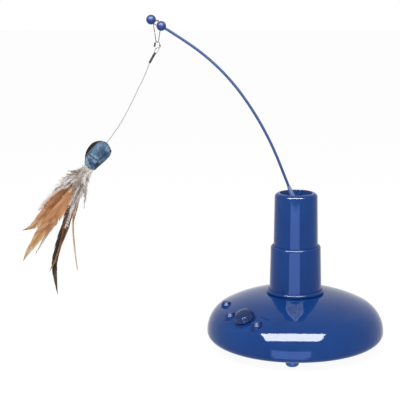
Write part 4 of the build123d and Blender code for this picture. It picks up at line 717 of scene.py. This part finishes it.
def feather(name, node, material, left, right, behind, barbs, fluff, bow=1.6, fringe=0):
    """A vane between two edges: paired barbs from the quill, loose and long near its foot."""
    mesh, layers = new_plumage()
    left_edge = eased(left, VANE_ROWS)
    right_edge = eased(right, VANE_ROWS)
    centre = [tuple((p + q) / 2 for p, q in zip(a, b)) for a, b in zip(left_edge, right_edge)]
    arch = [math.sin(VANE_ARCH * i / VANE_ROWS) for i in range(VANE_ROWS)]
    spine = [
        sewn(*centre[i], behind + bow * arch[i] - QUILL_IN_FRONT)
        for i in range(0, VANE_ROWS, QUILL_ROWS)
    ]
    quill(mesh, layers, spine, QUILL_FOOT, QUILL_TIP)
    for i in range(barbs):
        share = (i + shaken.random()) / barbs
        begin = int(share * (VANE_ROWS - ROWS_LEFT_AT_TIP))
        reach = begin + BARB_ROWS_LEAST + int(BARB_ROWS_MORE * shaken.random())
        reach = min(reach, VANE_ROWS - 1)
        loose = max(0.0, 1.0 - share / LOOSE_SHARE) * fluff
        foot = centre[begin]
        sweep = [(p - q) * BARB_SWEEP for p, q in zip(foot, centre[reach])]
        for edge, sign in ((left_edge, -1.0), (right_edge, 1.0)):
            grow = 1.0 + shaken.uniform(*UNEVEN_END) + loose * shaken.uniform(*LOOSE_END)
            end = towards(centre[reach], edge[reach], grow)
            points = []
            for k in range(BARB_STEPS + 1):
                t = k / BARB_STEPS
                swell = math.sin(math.pi * t) * BARB_SWELL
                spot = towards(foot, end, t)
                rise = behind + swell * arch[begin] + 0.9 * t * t
                rise += loose * shaken.uniform(-1.2, 1.2) * t
                points.append(sewn(spot[0] + sweep[0] * swell, spot[1] + sweep[1] * swell, rise))
            width = FIRM_WIDTH if loose < 0.1 else LOOSE_WIDTH
            tone = barb_tone(share, behind, sign)
            ribbon(mesh, layers, points, width * shaken.uniform(0.8, 1.2), share, tone)
    for i in range(fringe):
        place = WISPS_BEGIN + WISPS_RUN * shaken.random()
        wisp(mesh, layers, left_edge, int(VANE_ROWS * place), behind)
    return finish_plumage(mesh, name, material, node)


# A barb is darkened near the quill by painted shade, out to the reach below. The ridges are sizes
# in metres.
PAINTED_SHADE_REACH = 0.35
RIDGE_SIZE = 0.0005
RIDGE_HEIGHT = 0.00006


def barbed(name, stops, quill_colour, tone_share, sheen=0.2, painted_root_shade=0.7):
    """Feather surface: colour along the vane, streaked from barb to barb, with painted shade near
    its own quill.
    """
    material, shader = plain_surface(name, 0.6, specular=0.1)
    shader.inputs["Sheen Weight"].default_value = sheen
    tree = material.node_tree
    values = {}
    for word in BARB_VALUES:
        node = tree.nodes.new("ShaderNodeAttribute")
        node.attribute_name = word
        values[word] = node.outputs["Fac"]
    streak = tree.nodes.new("ShaderNodeMath")
    streak.operation = "MULTIPLY_ADD"
    streak.inputs[1].default_value = tone_share
    tree.links.new(values["tone"], streak.inputs[0])
    tree.links.new(values["along"], streak.inputs[2])
    ramp = shade_between(shader, streak.outputs["Value"], *stops)
    # Painted shade: each barb's colour is darkened towards the quill.
    root = tree.nodes.new("ShaderNodeMapRange")
    root.inputs["From Max"].default_value = PAINTED_SHADE_REACH
    root.inputs["To Min"].default_value = painted_root_shade
    tree.links.new(values["outward"], root.inputs["Value"])
    colour_with_painted_shade = tree.nodes.new("ShaderNodeVectorMath")
    colour_with_painted_shade.operation = "SCALE"
    tree.links.new(ramp.outputs["Color"], colour_with_painted_shade.inputs[0])
    tree.links.new(root.outputs["Result"], colour_with_painted_shade.inputs["Scale"])
    is_quill = tree.nodes.new("ShaderNodeMath")
    is_quill.operation = "LESS_THAN"
    is_quill.inputs[1].default_value = QUILL_MARK / 2
    tree.links.new(values["outward"], is_quill.inputs[0])
    mix = tree.nodes.new("ShaderNodeMix")
    mix.data_type = "RGBA"
    mix.inputs["B"].default_value = (*quill_colour, 1.0)
    tree.links.new(is_quill.outputs["Value"], mix.inputs["Factor"])
    tree.links.new(colour_with_painted_shade.outputs["Vector"], mix.inputs["A"])
    tree.links.new(mix.outputs["Result"], shader.inputs["Base Color"])
    relief(shader, cloudy(shader, RIDGE_SIZE, GRAIN_DETAIL), RIDGE_HEIGHT)
    return material


rust_barbs = barbed(
    "rust_barbs",
    ((0.0, (0.78, 0.64, 0.57)), (0.07, (0.70, 0.52, 0.43)), (0.14, (0.46, 0.20, 0.085)),
     (0.55, (0.36, 0.13, 0.042)), (0.85, (0.54, 0.25, 0.10)), (1.1, (0.64, 0.39, 0.22))),
    quill_colour=(0.62, 0.40, 0.24), tone_share=0.3,
)
amber_barbs = barbed(
    "amber_barbs",
    ((0.0, (0.40, 0.18, 0.09)), (0.3, (0.58, 0.29, 0.14)), (0.5, (0.52, 0.23, 0.095)),
     (0.62, (0.33, 0.14, 0.055)), (0.74, (0.62, 0.33, 0.15)), (0.95, (0.60, 0.36, 0.15)),
     (1.15, (0.74, 0.58, 0.42))),
    quill_colour=(0.70, 0.47, 0.27), tone_share=0.28, painted_root_shade=0.86,
)
umber_barbs = barbed(
    "umber_barbs",
    ((0.0, (0.34, 0.24, 0.18)), (0.3, (0.110, 0.040, 0.014)), (0.7, (0.150, 0.052, 0.015)),
     (1.0, (0.22, 0.085, 0.022)), (1.15, (0.50, 0.25, 0.09))),
    quill_colour=(0.55, 0.33, 0.17), tone_share=0.4,
)
black_barbs = barbed(
    "black_barbs",
    ((0.0, (0.30, 0.24, 0.20)), (0.25, (0.05, 0.030, 0.018)), (0.6, (0.018, 0.011, 0.006)),
     (1.0, (0.030, 0.020, 0.012)), (1.2, (0.12, 0.095, 0.07))),
    quill_colour=(0.10, 0.07, 0.05), tone_share=0.3,
)
pale_barbs = barbed(
    "pale_barbs",
    ((0.0, (0.62, 0.57, 0.52)), (0.6, (0.72, 0.70, 0.67)), (1.0, (0.80, 0.79, 0.77))),
    quill_colour=(0.80, 0.77, 0.73), tone_share=0.4, painted_root_shade=1.0,
)

feather(
    "rust_feather_upper", "feather_rust_upper", rust_barbs,
    ((268.0, 208.0), (284.9, 187.5), (304.9, 172.5), (317.9, 161.0), (326.9, 148.5),
     (340.3, 131.0), (351.2, 123.7)),
    ((266.0, 205.7), (280.2, 179.4), (293.2, 163.6), (308.8, 147.5), (318.7, 138.3),
     (331.8, 127.4), (351.2, 123.7)),
    behind=0.8, barbs=190, fluff=0.2, bow=2.6, fringe=360,
)
feather(
    "rust_feather_lower", "feather_rust_lower", amber_barbs,
    ((266.3, 205.7), (288.1, 175.5), (305.6, 156.0), (320.3, 139.5), (331.0, 125.5), (338.0, 113.0),
     (346.9, 97.0), (351.1, 84.0)),
    ((263.5, 205.8), (279.0, 176.2), (289.4, 153.8), (307.1, 129.8), (324.3, 113.5),
     (340.2, 96.0), (351.1, 84.0)),
    behind=-0.4, barbs=330, fluff=0.12,
)
feather(
    "pale_feather", "feather_pale", pale_barbs,
    ((272.2, 194.4), (305.6, 143.5), (321.7, 119.6), (336.1, 92.5)),
    ((271.2, 192.4), (303.1, 140.0), (318.2, 117.6), (336.1, 92.5)),
    behind=4.2, barbs=120, fluff=0.1,
)
feather(
    "brown_feather", "feather_brown", umber_barbs,
    ((266.3, 204.4), (284.2, 162.8), (296.4, 132.8), (299.0, 119.2), (307.8, 90.8), (316.7, 71.9)),
    ((262.2, 204.6), (275.9, 163.1), (285.0, 141.4), (288.9, 127.7), (298.7, 107.0),
     (306.5, 87.5), (316.7, 71.9)),
    behind=1.8, barbs=200, fluff=0.2,
)
feather(
    "black_feather", "feather_black", black_barbs,
    ((267.7, 204.4), (291.5, 158.4), (297.3, 135.5), (304.2, 119.0), (311.4, 95.5),
     (314.0, 77.6), (311.2, 58.5), (307.2, 41.2)),
    ((265.0, 204.5), (285.1, 149.3), (290.4, 130.3), (296.6, 113.8), (305.3, 87.6),
     (307.0, 68.3), (307.2, 41.2)),
    behind=3.0, barbs=210, fluff=0.2, bow=3.4,
)
feather(
    "orange_feather", "feather_orange", amber_barbs,
    ((260.9, 203.3), (272.5, 181.8), (279.4, 163.0), (282.0, 146.8), (282.2, 134.8),
     (280.9, 107.9), (277.1, 74.2)),
    ((258.8, 203.4), (264.2, 184.8), (271.6, 168.6), (274.8, 155.2), (280.9, 134.8),
     (280.1, 108.0), (277.1, 74.2)),
    behind=-1.4, barbs=170, fluff=0.6, bow=-3.2,
)

# Down. Loose, silky aftershafts and small soft feathers tied over the quills, beige with
# brown-grey streaks, that fan out under the stuffed body and hide where the quills meet.

# A small feather's quill, with its radius in metres at both ends. Its barbs differ in length and
# spread, as shares of the reach, in curl, and in width, in metres.
SPINE_STEPS = 24
SPINE_ROWS = 8
PLUME_FOOT = 0.0003
PLUME_TIP = 0.00006
DOWN_LENGTH = (0.6, 1.3)
DOWN_WIDENING = (0.12, 0.52)
DOWN_CURL = (-0.25, 0.35)
DOWN_WIDTH = (0.0002, 0.00045)


def plume(mesh, layers, start, end, bow, behind, drift, reach, count, tone):
    """A soft quill with long fine barbs that float off it on both sides and at its end."""
    run = (end[0] - start[0], end[1] - start[1])
    size = math.hypot(*run)
    spine = []
    for i in range(SPINE_STEPS + 1):
        t = i / SPINE_STEPS
        side = math.sin(math.pi * t) * bow
        spine.append((
            start[0] + run[0] * t - run[1] / size * side,
            start[1] + run[1] * t + run[0] / size * side,
        ))
    few = [
        sewn(*spot, behind + drift * i / SPINE_ROWS)
        for i, spot in enumerate(spine[::SPINE_STEPS // SPINE_ROWS])
    ]
    quill(mesh, layers, few, PLUME_FOOT, PLUME_TIP)
    for i in range(count):
        share = shaken.random() ** 0.8
        k = min(int(share * SPINE_STEPS), SPINE_STEPS - 1)
        run = (spine[k + 1][0] - spine[k][0], spine[k + 1][1] - spine[k][1])
        size = math.hypot(*run)
        ahead = (run[0] / size, run[1] / size)
        sign = 1.0 if shaken.random() < 0.5 else -1.0
        fullness = 0.6 + 0.75 * math.sin(math.pi * min(share + 0.15, 1.0))
        length = reach * shaken.uniform(*DOWN_LENGTH) * fullness
        spread = shaken.uniform(*DOWN_WIDENING)
        curl = shaken.uniform(*DOWN_CURL)
        points = []
        for step in range(BARB_STEPS + 1):
            t = step / BARB_STEPS
            out = length * t * (spread - curl * t * 0.5) * sign
            on = length * t * (0.95 - 0.1 * t)
            points.append(sewn(
                spine[k][0] + ahead[0] * on - ahead[1] * out,
                spine[k][1] + ahead[1] * on + ahead[0] * out,
                behind + drift * share + shaken.uniform(-1.6, 1.2) * t,
            ))
        shade = min(1.0, max(0.0, tone + shaken.uniform(-0.12, 0.12)))
        ribbon(mesh, layers, points, shaken.uniform(*DOWN_WIDTH), share * 0.12, shade)


down_barbs = barbed(
    "down_barbs",
    ((0.0, (0.93, 0.91, 0.89)), (0.20, (0.84, 0.80, 0.76)), (0.40, (0.56, 0.47, 0.42)),
     (0.55, (0.27, 0.185, 0.14)), (0.8, (0.11, 0.070, 0.050))),
    quill_colour=(0.92, 0.90, 0.88), tone_share=0.85, sheen=0.1, painted_root_shade=1.0,
)
down_mesh, down_layers = new_plumage()

# Where each small feather ends, how far it bows, how far it lies behind, its barbs' reach and
# its tone.
DOWN_TIPS = (
    ((286.0, 198.5), -3.0, -2.0, 6.0, 0.62), ((291.0, 194.0), -3.0, -2.4, 7.0, 0.45),
    ((297.0, 190.0), -3.5, -1.0, 7.0, 0.22), ((304.0, 183.0), -3.0, 0.5, 8.0, 0.16),
    ((309.0, 175.0), -2.5, 1.6, 8.0, 0.12), ((294.0, 184.0), -2.0, -2.6, 7.0, 0.55),
    ((298.0, 179.0), -2.0, -2.8, 7.0, 0.12), ((289.0, 181.0), -1.0, -3.8, 7.0, 0.08),
    ((284.0, 186.0), -0.5, -4.6, 6.0, 0.60), ((282.0, 178.0), 0.0, -4.8, 6.0, 0.14),
    ((280.0, 168.0), 0.3, -4.6, 6.0, 0.42), ((284.0, 160.0), 0.5, -3.8, 5.5, 0.10),
    ((283.5, 150.0), 0.5, -3.4, 5.0, 0.06), ((285.5, 141.0), 0.3, -2.8, 5.0, 0.12),
    ((288.5, 132.0), 0.0, -2.0, 5.5, 0.10), ((278.0, 162.0), 0.5, -4.2, 5.5, 0.66),
    ((272.5, 163.0), 1.5, -4.6, 6.0, 0.34), ((302.5, 179.0), -2.4, -1.6, 8.0, 0.58),
    ((267.0, 181.0), 1.2, -5.6, 7.0, 0.62), ((262.0, 188.5), 1.8, -5.0, 6.0, 0.08),
    ((288.0, 189.0), -1.6, -4.4, 7.0, 0.05), ((277.5, 183.0), -0.2, -5.8, 7.0, 0.55),
    ((268.0, 170.0), 2.0, -4.4, 6.5, 0.20), ((264.5, 178.0), 2.5, -4.0, 6.0, 0.60),
    ((260.0, 185.0), 3.0, -3.4, 6.0, 0.30), ((256.5, 193.0), 2.5, -3.0, 5.0, 0.16),
    ((274.5, 176.0), 0.5, -5.2, 6.0, 0.10), ((270.5, 184.0), 1.0, -5.4, 6.0, 0.48),
    ((279.0, 190.0), -1.0, -5.0, 6.0, 0.10), ((265.5, 190.0), 1.0, -5.2, 5.0, 0.10),
    ((273.5, 194.5), -0.5, -5.4, 5.0, 0.40), ((260.5, 195.5), 1.0, -4.6, 4.5, 0.12),
    ((293.5, 128.5), -0.5, 1.0, 6.0, 0.14), ((279.5, 147.0), 0.4, -1.6, 5.0, 0.30),
    ((254.5, 198.5), 1.5, -4.0, 4.5, 0.10), ((257.5, 190.5), 2.5, -4.4, 5.0, 0.62),
    ((283.0, 203.0), -2.0, -3.0, 5.0, 0.66), ((276.0, 204.0), -1.5, -4.0, 4.5, 0.55),
)

# Where the small feathers' quills start, and how widely. One that ends beyond DOWN_MIDDLE starts
# on that side of the bundle. A longer one has more barbs.
DOWN_ROOT = (259.5, 208.0)
DOWN_SPREAD = (5.0, 2.2)
DOWN_MIDDLE = 284.0
BARBS_LEAST = 24
BARBS_PER_MM = 2.2
for end, bow, behind, reach, tone in DOWN_TIPS:
    side = shaken.uniform(-1.0, 1.0) + (0.5 if end[0] > DOWN_MIDDLE else -0.5)
    start = tuple(root + spread * side for root, spread in zip(DOWN_ROOT, DOWN_SPREAD))
    count = int(BARBS_LEAST + BARBS_PER_MM * math.hypot(end[0] - start[0], end[1] - start[1]))
    plume(down_mesh, down_layers, start, end, bow, behind, behind * 0.6, reach, count, tone)

# More of them lie behind the long feathers and show between them.
HIDDEN_PLUMES = 16
for i in range(HIDDEN_PLUMES):
    start = (DOWN_ROOT[0] + shaken.uniform(-DOWN_SPREAD[0], DOWN_SPREAD[0]), 207.5)
    end = (shaken.uniform(269.0, 300.0), shaken.uniform(152.0, 186.0))
    plume(
        down_mesh, down_layers, start, end, shaken.uniform(-1.0, 2.0),
        behind=3.4, drift=4.5, reach=7.0, count=70, tone=shaken.uniform(0.05, 0.6),
    )
finish_plumage(down_mesh, "down", down_barbs, "down_tuft")

# Studio. A white floor that keeps the toy's shadow and an even white surround, with one soft lamp
# overhead in front. A low bluish lamp and a bright softbox are seen only in gloss: they give the
# tower its upright band and the dome its low patch and its long white strip.

FLOOR_SIZE = 12.0
FLOOR_WHITE = 1.05
FLOOR_BLEND = 0.9
SURROUND_LIGHT = 0.36
SURROUND_WHITE = 1.0


def shown_as_ground(tree):
    """1 for a ray from the camera, off gloss or through clear pieces, and 0 for any other."""
    ray = tree.nodes.new("ShaderNodeLightPath")
    direct = tree.nodes.new("ShaderNodeMath")
    direct.operation = "MAXIMUM"
    tree.links.new(ray.outputs["Is Camera Ray"], direct.inputs[0])
    tree.links.new(ray.outputs["Is Glossy Ray"], direct.inputs[1])
    clear = tree.nodes.new("ShaderNodeMath")
    clear.operation = "MAXIMUM"
    tree.links.new(direct.outputs["Value"], clear.inputs[0])
    tree.links.new(ray.outputs["Is Transmission Ray"], clear.inputs[1])
    return clear.outputs["Value"]


floor_mesh = bmesh.new()
bmesh.ops.create_grid(floor_mesh, x_segments=1, y_segments=1, size=FLOOR_SIZE)
floor = placed_mesh("floor", floor_mesh)
white_paper, paper = plain_surface("white_paper", 0.9)
paper.inputs["Base Color"].default_value = (0.8, 0.8, 0.8, 1.0)
tree = white_paper.node_tree
kept = tree.nodes.new("ShaderNodeMath")
kept.operation = "MULTIPLY"
kept.inputs[1].default_value = FLOOR_BLEND
tree.links.new(shown_as_ground(tree), kept.inputs[0])
white = tree.nodes.new("ShaderNodeEmission")
white.inputs["Strength"].default_value = FLOOR_WHITE
blend = tree.nodes.new("ShaderNodeMixShader")
tree.links.new(kept.outputs["Value"], blend.inputs["Fac"])
tree.links.new(paper.outputs["BSDF"], blend.inputs[1])
tree.links.new(white.outputs["Emission"], blend.inputs[2])
tree.links.new(blend.outputs["Shader"], tree.nodes["Material Output"].inputs["Surface"])
floor.data.materials.append(white_paper)
floor.visible_glossy = False

world = bpy.data.worlds.new("surround")
bpy.context.scene.world = world
world.use_nodes = True
tree = world.node_tree
even = tree.nodes["Background"]
bright = tree.nodes.new("ShaderNodeBackground")
for light, strength in ((even, SURROUND_LIGHT), (bright, SURROUND_WHITE)):
    light.inputs["Color"].default_value = (1.0, 1.0, 1.0, 1.0)
    light.inputs["Strength"].default_value = strength
blend = tree.nodes.new("ShaderNodeMixShader")
tree.links.new(shown_as_ground(tree), blend.inputs["Fac"])
tree.links.new(even.outputs["Background"], blend.inputs[1])
tree.links.new(bright.outputs["Background"], blend.inputs[2])
tree.links.new(blend.outputs["Shader"], tree.nodes["World Output"].inputs["Surface"])


def panel(name, at, facing, size, watts, colour=(1.0, 1.0, 1.0), diffuse=True, glossy=True):
    """A rectangular studio lamp that faces a point and isn't in the picture itself."""
    data = bpy.data.lights.new(name, "AREA")
    data.shape = "RECTANGLE"
    data.size, data.size_y = size
    data.energy = watts
    data.color = colour
    lamp = placed(name, data)
    lamp.location = at
    lamp.rotation_euler = (Vector(facing) - Vector(at)).to_track_quat("-Z", "Y").to_euler()
    lamp.visible_camera = False
    lamp.visible_diffuse = diffuse
    lamp.visible_glossy = glossy


panel(
    "overhead", at=(-0.10, -0.75, 1.30), facing=(0.0, -0.05, 0.10), size=(2.0, 1.0), watts=19.0,
    glossy=False,
)
panel(
    "low_shine", at=(-0.070, -0.75, -0.345), facing=(-0.070, 0.0, -0.345), size=(0.65, 0.80),
    watts=17.0, colour=(0.30, 0.44, 1.0), diffuse=False,
)

# The softbox has slanted ends, and so has the strip that it leaves on the dome.
SOFTBOX_CORNERS = ((-0.93, -0.525), (0.77, -0.465), (1.02, -1.46), (-1.30, -1.56))
SOFTBOX_HEIGHT = 1.30
SOFTBOX_STRENGTH = 60.0
softbox_mesh = bmesh.new()
softbox_mesh.faces.new([softbox_mesh.verts.new((x, y, SOFTBOX_HEIGHT)) for x, y in SOFTBOX_CORNERS])
softbox = placed_mesh("softbox", softbox_mesh)
softbox.visible_camera = False
softbox.visible_diffuse = False
softbox.visible_shadow = False
softbox_white = bpy.data.materials.new("softbox_white")
softbox_white.use_nodes = True
tree = softbox_white.node_tree
tree.nodes.remove(tree.nodes["Principled BSDF"])
shine = tree.nodes.new("ShaderNodeEmission")
shine.inputs["Strength"].default_value = SOFTBOX_STRENGTH
tree.links.new(shine.outputs["Emission"], tree.nodes["Material Output"].inputs["Surface"])
softbox.data.materials.append(softbox_white)

camera_data = bpy.data.cameras.new("camera")
camera_data.sensor_width = 36.0
camera_data.lens = 96.66
camera_data.shift_x = -0.125
camera = placed("camera", camera_data)
camera.location = (0.0, -1.250, 0.415)
LOOKING_DOWN = 10.77
TURNED_LEFT = 2.5
camera.rotation_euler = (math.radians(90.0 - LOOKING_DOWN), 0.0, math.radians(TURNED_LEFT))
bpy.context.scene.camera = camera
bpy.context.scene.view_settings.view_transform = "Standard"
